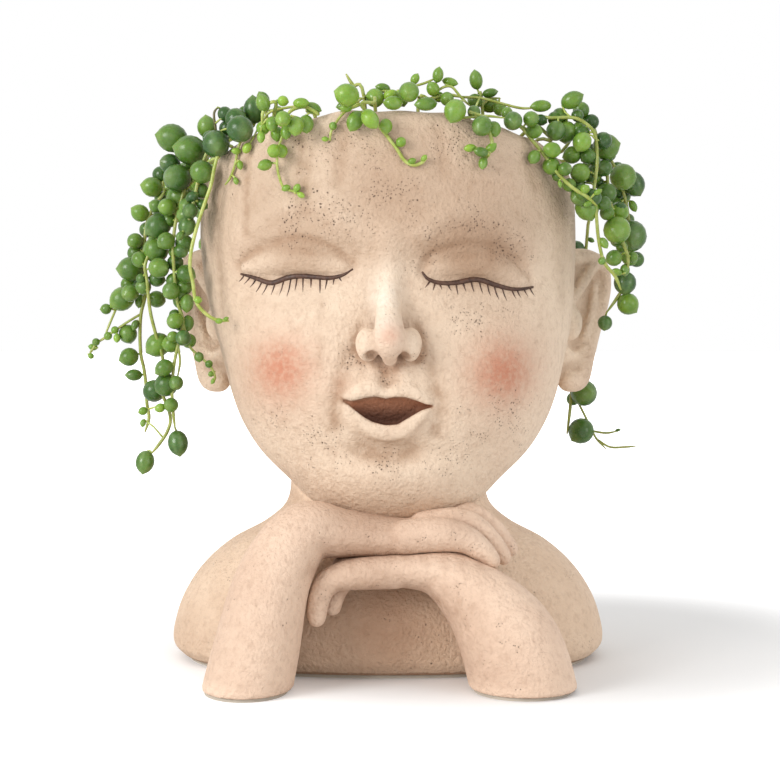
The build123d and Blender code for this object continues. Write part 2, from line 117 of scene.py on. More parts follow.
head_height = crown_height - chin_height
rim_arch_height = temple_dip / (1 - math.sqrt(1 - (head_half_width / rim_arch_half_width) ** 2))

# Rows of the head's outline: height, half width, front, back and lean to its left, as shares of
# the head's sizes and of jaw_lean.
head_outline_shares = (
    (0.000, 0.10, 0.73, -0.44, 0.8),
    (0.016, 0.27, 0.83, -0.28, 0.9),
    (0.050, 0.43, 0.90, 0.03, 1.0),
    (0.100, 0.55, 0.95, 0.32, 1.0),
    (0.168, 0.70, 0.97, 0.58, 1.0),
    (0.241, 0.80, 0.99, 0.75, 1.0),
    (0.314, 0.86, 1.00, 0.86, 1.0),
    (0.409, 0.91, 1.01, 0.94, 0.9),
    (0.511, 0.96, 1.00, 0.99, 0.6),
    (0.613, 0.99, 0.99, 1.02, 0.2),
    (0.715, 1.00, 1.02, 1.02, 0.0),
    (0.825, 0.99, 1.03, 1.00, 0.0),
    (0.934, 0.97, 1.01, 0.97, 0.0),
    (1.080, 0.93, 0.96, 0.93, 0.0),
)

# Gentle swells of the face: across and up, spread across and up, and raise, as shares of the
# head's half width, of its height, and of face_relief.
face_relief_shares = (
    (0.36, 0.690, 0.30, 0.055, 0.75),
    (-0.36, 0.690, 0.30, 0.055, 0.75),
    (0.38, 0.625, 0.30, 0.060, -1.10),
    (-0.38, 0.625, 0.30, 0.060, -1.10),
    (0.52, 0.370, 0.30, 0.130, 1.25),
    (-0.52, 0.370, 0.30, 0.130, 1.25),
    (0.00, 0.270, 0.30, 0.090, 1.10),
    (0.00, 0.185, 0.26, 0.030, -0.90),
    (0.00, 0.110, 0.26, 0.065, 1.00),
)

# Rows of the bust's outline: height, half width, front and back, as shares of its sizes.
bust_outline_shares = (
    (0.000, 0.945, 0.94, 0.94),
    (0.100, 1.000, 1.00, 1.00),
    (0.300, 0.985, 0.99, 0.99),
    (0.480, 0.940, 0.95, 0.96),
    (0.660, 0.860, 0.88, 0.90),
    (0.830, 0.735, 0.76, 0.80),
    (0.960, 0.580, 0.61, 0.72),
    (1.100, 0.480, 0.54, 0.68),
    (1.300, 0.455, 0.52, 0.69),
    (1.680, 0.455, 0.52, 0.71),
)

FAR = 1000
least = 1e-9
least_slope = 0.3
limb_blend = 0.3

# How far round a shape or a line the clay is worked: millimetres, and line widths.
shape_margin = 2
line_reach = 3
wash_line_points = 4

# Thin tubes: how many sides stems and painted lines have, and stalks, and where the first side faces.
stem_sides = 8
stalk_sides = 6
tube_side = (0.3, 1, 0.2)


def between(rows, height, column):
    """The smooth value of one column of a table of rows at each of many height shares."""
    table = np.array(rows, float)
    last = len(table) - 1
    here = np.clip(np.searchsorted(table[:, 0], height, side="right") - 1, 0, last - 1)
    low, high = table[here], table[here + 1]
    before = table[np.maximum(here - 1, 0)]
    after = table[np.minimum(here + 2, last)]
    span = high[..., 0] - low[..., 0]
    t = np.clip((height - low[..., 0]) / span, 0, 1)
    slope_low = (high[..., column] - before[..., column]) / (high[..., 0] - before[..., 0]) * span
    slope_high = (after[..., column] - low[..., column]) / (after[..., 0] - low[..., 0]) * span
    return (
        (2 * t**3 - 3 * t**2 + 1) * low[..., column]
        + (t**3 - 2 * t**2 + t) * slope_low
        + (3 * t**2 - 2 * t**3) * high[..., column]
        + (t**3 - t**2) * slope_high
    )


def blend_min(a, b, reach):
    """The union of two distances, with a soft fillet as wide as reach."""
    near = np.maximum(reach - np.abs(a - b), 0) / max(reach, 1e-6)
    return np.minimum(a, b) - near**2 * reach / 4


def blend_max(a, b, reach):
    """What two distances share, with a soft round as wide as reach."""
    return -blend_min(-a, -b, reach)


def ellipsoid(center, radii, turn_deg=0):
    """The distance to an ellipsoid, turned about the vertical."""
    cosine, sine = math.cos(math.radians(turn_deg)), math.sin(math.radians(turn_deg))

    def distance(x, y, z):
        dx, dy, dz = x - center[0], y - center[1], z - center[2]
        across, deep = dx * cosine + dy * sine, dy * cosine - dx * sine
        outer = np.sqrt((across / radii[0]) ** 2 + (deep / radii[1]) ** 2 + (dz / radii[2]) ** 2)
        inner = np.sqrt(
            (across / radii[0] ** 2) ** 2 + (deep / radii[1] ** 2) ** 2 + (dz / radii[2] ** 2) ** 2
        )
        return outer * (outer - 1) / np.maximum(inner, 1e-6)

    reach = max(radii)
    return distance, [c - reach for c in center], [c + reach for c in center]


def smooth_path(points, count):
    """Points along a smooth curve through a few points, with any radius column carried along."""
    table = np.array(points, float)
    padded = np.vstack([2 * table[0] - table[1], table, 2 * table[-1] - table[-2]])
    out = []
    for i in range(len(table) - 1):
        a, b, c, d = padded[i : i + 4]
        for t in np.linspace(0, 1, count, endpoint=False):
            bend, twist = 2 * a - 5 * b + 4 * c - d, 3 * b - a - 3 * c + d
            out.append(0.5 * (2 * b + (c - a) * t + bend * t**2 + twist * t**3))
    out.append(table[-1])
    return np.array(out)


def tube(points, count=6, flat=(0, 1, 0)):
    """The distance to a limb through points of x, y, z, radius and how many times wider it is along flat."""
    path = smooth_path([point if len(point) == 5 else (*point, 1) for point in points], count)

    def distance(x, y, z):
        best = None
        for low, high in zip(path, path[1:]):
            way = high[:3] - low[:3]
            px, py, pz = x - low[0], y - low[1], z - low[2]
            t = np.clip((px * way[0] + py * way[1] + pz * way[2]) / max(way @ way, least), 0, 1)
            dx, dy, dz = px - t * way[0], py - t * way[1], pz - t * way[2]
            wide = low[4] + t * (high[4] - low[4])
            lean = dx * flat[0] + dy * flat[1] + dz * flat[2]
            square = dx**2 + dy**2 + dz**2 + (1 / wide**2 - 1) * lean**2
            here = np.sqrt(np.maximum(square, 0)) - (low[3] + t * (high[3] - low[3]))
            best = here if best is None else blend_min(best, here, limb_blend)
        return best

    reach = (path[:, 3] * np.maximum(path[:, 4], 1)).max()
    return distance, path[:, :3].min(0) - reach, path[:, :3].max(0) + reach


def as_distance(rough, step):
    """Turns a rough measure of inside and outside on a grid into a distance."""
    slopes = np.gradient(rough, step)
    steep = np.sqrt(slopes[0] ** 2 + slopes[1] ** 2 + slopes[2] ** 2)
    return (rough / np.maximum(steep, least_slope)).astype(np.float32)


class Clay:
    """A block of clay on a grid that holds the distance to its surface, negative inside."""

    def __init__(self, low, high, step):
        self.low = np.array(low, float)
        self.step = step
        self.counts = np.ceil((np.array(high, float) - self.low) / step).astype(int) + 1
        self.lines = [self.low[i] + step * np.arange(self.counts[i]) for i in range(3)]
        self.field = np.full(self.counts, FAR, np.float32)

    def window(self, low, high, margin):
        """The part of the grid inside a box and a margin, and its x, y and z."""
        first = np.floor((np.array(low) - margin - self.low) / self.step).astype(int)
        last = np.ceil((np.array(high) + margin - self.low) / self.step).astype(int) + 1
        first = np.clip(first, 0, self.counts)
        last = np.clip(last, 0, self.counts)
        cut = tuple(slice(a, b) for a, b in zip(first, last))
        x, y, z = (self.lines[i][cut[i]].astype(np.float32) for i in range(3))
        return cut, x[:, None, None], y[None, :, None], z[None, None, :]

    def whole(self):
        """The x, y and z of the whole grid."""
        x, y, z = (line.astype(np.float32) for line in self.lines)
        return x[:, None, None], y[None, :, None], z[None, None, :]

    def add(self, shape, blend=0.5):
        """Presses a shape onto the clay."""
        distance, low, high = shape
        cut, x, y, z = self.window(low, high, blend + shape_margin)
        self.field[cut] = blend_min(self.field[cut], distance(x, y, z), blend)

    def cut(self, shape, blend=0.5):
        """Takes a shape out of the clay."""
        distance, low, high = shape
        cut, x, y, z = self.window(low, high, blend + shape_margin)
        self.field[cut] = blend_max(self.field[cut], -distance(x, y, z), blend)

    def groove(self, points, width, depth, count=8):
        """Draws a soft line into the surface along points of x, y and z."""
        path = smooth_path([(*point, width) for point in points], count)
        cut, x, y, z = self.window(path[:, :3].min(0), path[:, :3].max(0), line_reach * width)
        near = None
        for low, high in zip(path, path[1:]):
            way = high[:3] - low[:3]
            px, py, pz = x - low[0], y - low[1], z - low[2]
            t = np.clip((px * way[0] + py * way[1] + pz * way[2]) / max(way @ way, least), 0, 1)
            square = (px - t * way[0]) ** 2 + (py - t * way[1]) ** 2 + (pz - t * way[2]) ** 2
            near = square if near is None else np.minimum(near, square)
        self.field[cut] += depth * np.exp(-near / width**2)

    def value(self, places):
        """The distance at many places, smoothly between the grid's points."""
        spot = (np.asarray(places, float) - self.low) / self.step
        base = np.clip(np.floor(spot).astype(int), 0, self.counts - 2)
        part = np.clip(spot - base, 0, 1)
        total = 0
        for i in (0, 1):
            for j in (0, 1):
                for k in (0, 1):
                    share = (
                        (part[:, 0] if i else 1 - part[:, 0])
                        * (part[:, 1] if j else 1 - part[:, 1])
                        * (part[:, 2] if k else 1 - part[:, 2])
                    )
                    total = total + share * self.field[base[:, 0] + i, base[:, 1] + j, base[:, 2] + k]
        return total

    def hollowness(self, places, reach):
        """How deep each place sits in a crease, from 0 to 1, judged over a reach."""
        box = max(1, round(reach / self.step))
        soft = np.clip(self.field, -2 * reach, 2 * reach)
        for axis in range(3):
            total = np.cumsum(soft, axis=axis, dtype=np.float64)
            ahead = np.roll(total, -box, axis=axis)
            behind = np.roll(total, box, axis=axis)
            soft = ((ahead - behind) / (2 * box)).astype(np.float32)
        blurred = Clay.__new__(Clay)
        blurred.low, blurred.step, blurred.counts, blurred.field = self.low, self.step, self.counts, soft
        return np.clip(-blurred.value(places) / reach * 3, 0, 1)

    def skin(self, name):
        """A smooth mesh of the clay's surface, and its points in millimetres."""
        grid = openvdb.FloatGrid()
        grid.copyFromArray(np.clip(self.field, -3 * self.step, 3 * self.step))
        points, _, quads = grid.convertToPolygons(isovalue=0.0, adaptivity=0.0)
        places = points * self.step + self.low
        mesh = bpy.data.meshes.new(name)
        mesh.from_pydata((places * MM).tolist(), [], quads[:, ::-1].tolist())
        mesh.polygons.foreach_set("use_smooth", np.ones(len(quads), bool))
        mesh.update()
        return mesh, places


def place_in_view(u, v, depth):
    """Where the line of sight through a pixel of the photograph meets a depth plane."""
    pitch = math.radians(camera_pitch_deg)
    up_share = (centre_px[1] - v) / focal_px
    forward = math.cos(pitch) + up_share * math.sin(pitch)
    rise = up_share * math.cos(pitch) - math.sin(pitch)
    run = (depth + camera_distance) / forward
    return (u - centre_px[0]) / focal_px * run, depth, camera_height + rise * run


def add_piece(name, mesh, material, body, replaced):
    """A visible piece of the object that stands for some solids and rides on their body."""
    piece = bpy.data.objects.new(name, mesh)
    bpy.context.scene.collection.objects.link(piece)
    mesh.materials.append(material)
    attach(piece, body)
    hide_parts(*replaced)
    return piece


def paint(mesh, name, values):
    """Stores one value for each point of a mesh, for its material."""
    layer = mesh.attributes.new(name, "FLOAT", "POINT")
    layer.data.foreach_set("value", np.asarray(values, np.float32))


# The cast head
def outline_at(z):
    """Half width, middle in depth and half depth of the head at heights."""
    share = (z - chin_height) / head_height
    half_width = between(head_outline_shares, share, 1) * head_half_width
    front = between(head_outline_shares, share, 2) * head_front_depth
    back = between(head_outline_shares, share, 3) * head_back_depth
    return half_width, (back - front) / 2, (back + front) / 2


def lean_at(z):
    """How far the head leans to its left at heights."""
    return between(head_outline_shares, (z - chin_height) / head_height, 4) * jaw_lean


def relief(x, z):
    """How far the face swells forward at a place across and up the head."""
    swell = 0
    for share_x, share_z, spread_x, spread_z, raise_share in face_relief_shares:
        away_x = (x / head_half_width - share_x) / spread_x
        away_z = ((z - chin_height) / head_height - share_z) / spread_z
        swell = swell + raise_share * face_relief * np.exp(-(away_x**2) - away_z**2)
    return swell


def head_rough(x, y, z, grow):
    """A rough measure of inside and outside for the head's form, grown all round."""
    half_width, middle, half_depth = outline_at(z)
    wide = np.abs((x - lean_at(z)) / (half_width + grow))
    deep = np.abs((y - middle) / (half_depth + grow))
    around = ((wide**head_power + deep**head_power) ** (1 / head_power) - 1) * (half_width + grow)
    return np.maximum(around, chin_height - grow - z)


def face_front(x, z):
    """Where the face's front lies in depth at a place across and up the head."""
    x, z = np.asarray(x, float), np.asarray(z, float)
    half_width, middle, half_depth = outline_at(z)
    inside = np.maximum(0, 1 - np.abs((x - lean_at(z)) / half_width) ** head_power)
    return middle - half_depth * inside ** (1 / head_power) - relief(x, z)


def arch_height(x):
    """The height of the rim's arch at a place across the head."""
    inside = np.maximum(rim_slack, 1 - (x / rim_arch_half_width) ** 2)
    return crown_height - rim_arch_height * (1 - np.sqrt(inside))


def ear_place(side, across, up, deep=0):
    """A place in an ear: across and up as shares of its size, and depth in millimetres."""
    reach = ear_reach - (head_half_width - ear_root_overlap)
    turn = math.radians(ear_turn_deg) * side
    x = side * reach * across
    return np.array((
        jaw_lean + side * (head_half_width - ear_root_overlap) + x * math.cos(turn) - deep * math.sin(turn),
        ear_depth_place + x * math.sin(turn) + deep * math.cos(turn),
        ear_bottom_height + ear_height * up,
    ))


# The forms of an ear, pressed on in turn or cut out. Each has rows of across and up as shares of the
# ear, depth and radius, then how wide it is for its depth, the points between two rows, and its blend.
ear_forms = (
    ("add", ((0.05, 0.60, 0.5, 9.0), (0.45, 0.63, 0.5, 9.5), (0.60, 0.68, 0.5, 8.5)), 0.4, 4, 2.5),
    ("add", ((-0.05, 0.80, 0.5, 6.0), (0.25, 0.82, 0.5, 6.5), (0.55, 0.80, 0.5, 5.5)), 0.5, 4, 2.5),
    ("add", ((0.05, 0.30, 0.5, 8.0), (0.34, 0.30, 0.5, 7.5), (0.30, 0.16, 0.0, 5.8)), 0.55, 4, 2.5),
    ("add", (
        (-0.05, 0.90, -1.5, 3.0), (0.22, 0.925, -1.0, 3.2), (0.55, 0.935, -0.5, 3.1), (0.80, 0.88, -0.5, 3.0),
        (0.88, 0.76, -0.5, 2.8), (0.82, 0.60, -0.5, 2.7), (0.68, 0.44, -0.8, 2.8), (0.53, 0.26, -1.0, 3.4),
        (0.40, 0.12, -1.0, 4.2), (0.24, 0.10, -1.0, 4.2),
    ), 1, 5, 1.2),
    ("cut", (
        (0.30, 0.36, -5.0, 4.0), (0.42, 0.50, -5.6, 5.2), (0.58, 0.66, -5.2, 5.0), (0.72, 0.80, -4.4, 3.4),
    ), 1, 4, 1.0),
    ("add", (
        (0.10, 0.60, -3.6, 2.2), (0.34, 0.72, -3.4, 2.2), (0.60, 0.86, -2.4, 2.2), (0.78, 0.91, -1.2, 2.4),
    ), 1, 4, 1.2),
    ("add", ((0.70, 0.76, -1.0, 1.3), (0.64, 0.58, -1.4, 1.5), (0.50, 0.40, -1.8, 1.7)), 1, 4, 1.0),
)
ear_flap = (0.16, 0.49, -4.5)
ear_flap_radii = (4.5, 4.2, 6.4)
ear_flap_blend = 2.0


def model_ear(clay, side):
    """An ear: a rolled edge round a hollow bowl, with a lobe and the small flap before the bowl."""
    turn = math.radians(ear_turn_deg) * side
    facing = (-math.sin(turn), math.cos(turn), 0)
    for action, rows, flat_share, count, blend in ear_forms:
        path = [(*ear_place(side, across, up, deep), radius, flat_share) for across, up, deep, radius in rows]
        press = clay.add if action == "add" else clay.cut
        press(tube(path, count, facing), blend)
    flap = ellipsoid(ear_place(side, *ear_flap), ear_flap_radii, ear_turn_deg * side)
    clay.add(flap, ear_flap_blend)


def skin_spot(clay, u, v, farthest=sight_end):
    """Where the line of sight through a pixel of the photograph meets the clay."""
    start = np.array(place_in_view(u, v, sight_start))
    end = np.array(place_in_view(u, v, farthest))
    spots = start + np.linspace(0, 1, sight_steps)[:, None] * (end - start)
    inside = np.nonzero(clay.value(spots) < 0)[0]
    return spots[inside[0] if len(inside) else -1]


def skin_depth(clay, x, z):
    """Where the clay's front lies in depth at a place across and up."""
    depths = np.arange(sight_start, face_sight_end, depth_step)
    spots = np.stack([np.full(len(depths), x), depths, np.full(len(depths), z)], 1)
    inside = np.nonzero(clay.value(spots) < 0)[0]
    return float(depths[inside[0]]) if len(inside) else 0.0


def line_in(clay, pixels, width, depth):
    """Draws a soft line into the clay, or raises one, through pixels of the photograph."""
    clay.groove([skin_spot(clay, u, v) for u, v in pixels], width, depth)


def roll_on(clay, rows, blend):
    """Presses a soft roll onto the clay: each row is across, up, radius and how far it stands out."""
    path = [(x, skin_depth(clay, x, z) + radius - out, z, radius) for x, z, radius, out in rows]
    clay.add(tube(path, curve_points), blend)


# How each line of an eye is drawn: its width, and its depth, or its height where that is negative.
eye_line_sizes = {
    "brow": (4.2, -0.9), "socket": (4.6, 0.9), "crease": (1.5, 1.3), "lash_line": (1.3, 0.7),
    "under": (3.0, 0.35),
}
lid_blend = 1.2
curve_points = 5


def model_eye(clay, side):
    """A closed lid that swells in its socket under the brow."""
    form = eye_forms_px[side]
    line_in(clay, form["brow"], *eye_line_sizes["brow"])
    line_in(clay, form["socket"], *eye_line_sizes["socket"])
    lid = []
    for u, v, radius, out in form["lid"]:
        x, y, z = skin_spot(clay, u, v)
        lid.append((x, y + radius - out, z, radius))
    line_in(clay, form["crease"], *eye_line_sizes["crease"])
    clay.add(tube(lid, curve_points), lid_blend)
    line_in(clay, lid_lines_px[side], *eye_line_sizes["lash_line"])
    line_in(clay, form["under"], *eye_line_sizes["under"])


# The nose's ridge from between the brows to its tip, and its base down to the lip: across, up, the
# height at which the face's depth is taken, how far behind the face its middle lies, and radius.
nose_ridge = (
    (0, 149, 148, 3.8, 3.4), (0, 138, 138, 2.0, 3.4), (0, 130, 130, -1.0, 3.5), (0.2, 122, 122, -5.4, 4.1),
    (0.5, 115, 115, -9.8, 5.0), (0.5, 112.6, 112, -8.8, 4.7),
)
nose_ridge_blend = 5.0
nose_base = ((0.6, 111.2, 112, -7.6, 3.6), (0.6, 107.6, 107, -3.4, 2.4))
nose_base_points = 3
nose_base_blend = 2.0

# The wings as across and half width, and the nostrils as across and up.
nose_wings = ((-6.6, 4.0), (7.2, 3.8))
nose_wing_height = 112.2
nose_wing_skin_height = 112
nose_wing_out = 3.6
nose_wing_half_depth = 6.2
nose_wing_half_height = 5.6
nose_wing_turn_deg = 14
nose_wing_blend = 1.4
nostrils = ((-5.3, 108.5), (5.0, 108.3))
nostril_sink = 0.6
nostril_radii = (2.3, 3.2, 1.7)
nostril_blend = 0.7

# The folds round the nose, in the photograph's pixels, with their width and depth.
nose_lines_px = (
    (((361, 326), (356, 337), (355, 349), (359, 359)), 1.5, 0.6),
    (((417, 326), (422, 338), (423, 350), (419, 360)), 1.5, 0.6),
    (((371, 336), (369, 345), (372, 352)), 1.3, 0.35),
    (((406, 336), (409, 345), (405, 352)), 1.3, 0.35),
)


def nose_path(rows):
    """Points of x, y, z and radius in the nose, from rows that stand off the face."""
    return [(x, face_front(0, at) + behind, z, radius) for x, z, at, behind, radius in rows]


def model_nose(clay):
    """A short nose with a round tip, two wings and small nostrils."""
    clay.add(tube(nose_path(nose_ridge), curve_points), nose_ridge_blend)
    clay.add(tube(nose_path(nose_base), nose_base_points), nose_base_blend)
    for across, reach in nose_wings:
        middle = (across, face_front(across, nose_wing_skin_height) - nose_wing_out, nose_wing_height)
        radii = (reach, nose_wing_half_depth, nose_wing_half_height)
        clay.add(ellipsoid(middle, radii, -math.copysign(nose_wing_turn_deg, across)), nose_wing_blend)
    for across, height in nostrils:
        hole = (across, skin_depth(clay, across, height) + nostril_sink, height)
        clay.cut(ellipsoid(hole, nostril_radii), nostril_blend)
    for pixels, width, depth in nose_lines_px:
        line_in(clay, pixels, width, depth)


# Soft rolls of the lips and of the groove over them: across, up, radius and how far each stands out,
# then the roll's blend.
mouth_rolls = (
    (((-4.2, 106.0, 2.0, 0.4), (-4.6, 102.5, 2.4, 0.7), (-5.6, 99.5, 2.8, 1.0)), 2.2),
    (((4.4, 106.0, 2.0, 0.4), (4.8, 102.5, 2.4, 0.7), (5.6, 99.0, 2.8, 1.0)), 2.2),
    ((
        (-15.2, 94.9, 0.9, 0.3), (-11.5, 96.4, 2.0, 1.1), (-6.8, 98.0, 2.8, 1.8), (-3.0, 97.4, 2.4, 1.8),
        (0.0, 96.6, 2.0, 1.5), (3.2, 97.3, 2.4, 1.7), (7.2, 96.8, 2.4, 1.6), (11.6, 94.8, 1.8, 1.0),
        (15.2, 92.4, 0.9, 0.3),
    ), 1.2),
    ((
        (-13.0, 91.8, 0.9, 0.2), (-10.8, 88.8, 1.5, 0.6), (-7.6, 85.7, 2.1, 0.9), (-1.6, 83.4, 2.6, 1.2),
        (4.6, 83.6, 2.6, 1.2), (9.2, 86.8, 1.9, 0.9), (12.6, 90.6, 0.9, 0.2),
    ), 2.2),
)

# The open mouth's upper and lower edge, across and up, and how it runs back.
mouth_top_line = (
    (-14.4, 93.8), (-11.7, 93.7), (-8.0, 94.7), (-4.2, 95.3), (-0.6, 94.5), (2.0, 95.1), (5.6, 95.1),
    (9.3, 93.9), (13.0, 92.3), (14.0, 92.0),
)
mouth_low_line = (
    (-14.4, 93.7), (-11.7, 91.4), (-8.0, 88.5), (-4.9, 86.8), (-0.6, 85.8), (3.2, 86.1), (6.8, 88.3),
    (10.6, 90.5), (14.0, 91.9),
)
mouth_front_height = 95.8
mouth_top = 96
mouth_reach = 12
mouth_depth = 3.0
mouth_slope_share = 0.5
mouth_box_x = (-15.6, 15.2)
mouth_box_z = (84, 97)
mouth_box_front = 6
mouth_blend = 0.6

# The folds round the mouth, in the photograph's pixels, with their width and depth.
mouth_lines_px = (
    (((352, 352), (343, 370), (338, 390), (334, 408), (333, 424)), 3.0, 1.1),
    (((424, 354), (432, 372), (438, 394), (440, 414), (436, 432)), 3.0, 1.1),
    (((386, 372), (386, 380), (386, 388)), 2.0, 0.8),
    (((362, 451), (374, 456), (388, 458), (402, 456), (410, 451)), 3.2, 0.9),
    (((375, 441), (388, 443), (402, 440)), 1.2, 0.4),
)


def model_mouth(clay):
    """A smiling, slightly open mouth between a bowed upper lip and a fuller lower one."""
    for rows, blend in mouth_rolls:
        roll_on(clay, rows, blend)
    top_line, low_line = np.array(mouth_top_line), np.array(mouth_low_line)
    front = skin_depth(clay, 0, mouth_front_height)
    middle, half = (top_line[0, 0] + top_line[-1, 0]) / 2, (top_line[-1, 0] - top_line[0, 0]) / 2

    def hollow(x, y, z):
        top = np.interp(x, top_line[:, 0], top_line[:, 1])
        low = np.interp(x, low_line[:, 0], low_line[:, 1])
        inside = np.maximum(z - top, low - z)
        ends = np.abs(x - middle) - half
        floor = y - (front + mouth_depth + mouth_slope_share * np.clip(mouth_top - z, 0, mouth_reach))
        return np.maximum(np.maximum(inside, ends), floor)

    low_corner = (mouth_box_x[0], front - mouth_box_front, mouth_box_z[0])
    high_corner = (mouth_box_x[1], front + mouth_reach, mouth_box_z[1])
    clay.cut((hollow, low_corner, high_corner), mouth_blend)
    for pixels, width, depth in mouth_lines_px:
        line_in(clay, pixels, width, depth)


def model_head():
    """The head's clay: its form, ears and face, the planting space and the drain."""
    clay = Clay(*head_box, clay_step)
    x, y, z = clay.whole()
    clay.field = as_distance(head_rough(x, y, z, 0), clay.step)
    half_width, middle, half_depth = outline_at(z)
    facing = np.clip(-(y - middle) / half_depth, 0, 1)
    clay.field -= (relief(x, z) * np.minimum(1, 2 * facing) * np.sqrt(facing)).astype(np.float32)
    for side in (-1, 1):
        model_ear(clay, side)
    for side in ("left", "right"):
        model_eye(clay, side)
    model_nose(clay)
    model_mouth(clay)
    for pixels, width, depth in rim_dents_px:
        line_in(clay, pixels, width, depth)
    inside = as_distance(head_rough(x, y, z, -head_wall), clay.step)
    inside = blend_max(inside, well_floor_height - z, well_floor_round)
    arch = arch_height(np.clip(x, -head_half_width, head_half_width))
    slope = np.gradient(arch[:, 0, 0], clay.step)[:, None, None]
    rim = (z - arch) / np.sqrt(1 + slope**2)
    wobble = sum(
        height * np.sin(x / wave_x + y / wave_y + start) for height, wave_x, wave_y, start in rim_wobbles
    )
    clay.field = blend_max(clay.field, -inside, 2 * rim_round).astype(np.float32)
    clay.field = blend_max(clay.field, rim + wobble, 2 * rim_round).astype(np.float32)
    from_axis = np.sqrt(x**2 + (y - neck_bore_back) ** 2)
    clay.field = np.maximum(clay.field, drain_bore_radius - from_axis).astype(np.float32)
    seat = np.maximum(from_axis - plug_seat_radius, z - (well_floor_height - drain_floor_thickness))
    clay.field = np.maximum(clay.field, -seat).astype(np.float32)
    return clay


# The cast bust and arms
def bust_rough(x, y, z, grow):
    """A rough measure of inside and outside for the bust's form, grown all round."""
    share = (z - pad_thickness) / (shoulder_height - pad_thickness)
    half_width = between(bust_outline_shares, share, 1) * shoulder_half_width + grow
    front = between(bust_outline_shares, share, 2) * bust_front_depth + grow
    back = between(bust_outline_shares, share, 3) * bust_back_depth + grow
    middle, half_depth = (back - front) / 2, (back + front) / 2
    wide, deep = np.abs(x / half_width), np.abs((y - middle) / half_depth)
    return ((wide**head_power + deep**head_power) ** (1 / head_power) - 1) * half_depth


def arm_points(rows):
    """Points of x, y, z, radius and width share in an arm, from shares of the arms' sizes."""
    return [
        (across * arm_half_spread, -forward * arm_front_depth, up * arm_height,
         thick * arm_radius, deep / thick)
        for across, forward, up, deep, thick in rows
    ]


def model_arm(arm_shares, fingers, avoid):
    """A forearm and hand, seated on the pad and against its neighbours."""
    points = arm_points(arm_shares)
    limbs = [[(*point, 1) for point in finger] for finger in fingers]
    every = np.array(points + [p for limb_points in limbs for p in limb_points])
    reach = every[:, 3] * np.maximum(every[:, 4], 1) + arm_margin
    low = (every[:, :3] - reach[:, None]).min(0)
    high = (every[:, :3] + reach[:, None]).max(0)
    low[2] = pad_thickness - arm_margin
    clay = Clay(low, high, clay_step)
    clay.add(tube(points), arm_blend)
    for limb_points in limbs:
        clay.add(tube(limb_points), finger_blend)
    x, y, z = clay.whole()
    clay.field = blend_max(clay.field, pad_thickness - z, elbow_round).astype(np.float32)
    for solid in avoid:
        clay.field = blend_max(clay.field, -solid(x, y, z), seat_round).astype(np.float32)
    return clay


# Stations of the arms: across, forward and up as shares of the arms' spread, depth and height,
# then half depth and half thickness as shares of their radius.
left_arm_shares = (
    (-1.04, 1.05, -0.20, 1.37, 0.98),
    (-0.93, 1.00, 0.26, 1.27, 0.93),
    (-0.81, 0.93, 0.72, 1.00, 0.81),
    (-0.60, 0.85, 1.00, 0.87, 0.68),
    (-0.32, 0.78, 0.99, 0.87, 0.53),
    (0.10, 0.75, 0.96, 0.87, 0.43),
    (0.42, 0.76, 1.01, 0.73, 0.33),
)
right_arm_shares = (
    (1.01, 1.02, -0.20, 1.37, 1.15),
    (0.88, 0.97, 0.26, 1.27, 1.10),
    (0.68, 0.90, 0.53, 1.00, 0.84),
    (0.39, 0.81, 0.735, 0.87, 0.58),
    (0.09, 0.78, 0.77, 0.87, 0.45),
    (-0.30, 0.76, 0.75, 0.73, 0.34),
)

# The fingers of each hand from the palm to the tip: x, y, z and radius.
left_fingers = (
    ((6, -60, 49.0, 5.8), (17, -61, 50.0, 5.6), (25, -60.5, 48.5, 4.7), (31, -59.6, 44.5, 3.7),
     (34.2, -59, 41.2, 2.8)),
    ((12, -52, 52.0, 5.0), (24, -52, 53.6, 4.3), (31.0, -51.6, 50.2, 3.7), (36.2, -51, 44.6, 3.2),
     (38.6, -50.6, 41.2, 2.6)),
    ((16, -44, 54.0, 4.6), (27, -44, 55.0, 4.0), (34.4, -43.5, 51.0, 3.5), (39.2, -43, 46.0, 3.0),
     (41.4, -42.6, 43.0, 2.5)),
)
right_fingers = (
    ((2, -60, 37.5, 5.6), (-9, -61, 37.0, 5.2), (-17.5, -61.5, 35.6, 4.4), (-21.8, -61.5, 31.5, 3.9),
     (-23.2, -61.2, 26.0, 3.5), (-23.4, -61, 22.4, 2.9)),
    ((0, -52, 38.0, 5.2), (-10, -53, 37.0, 4.8), (-16.0, -54, 33.0, 4.0), (-18.0, -54, 28.0, 3.3),
     (-18.4, -54, 25.0, 2.8)),
)

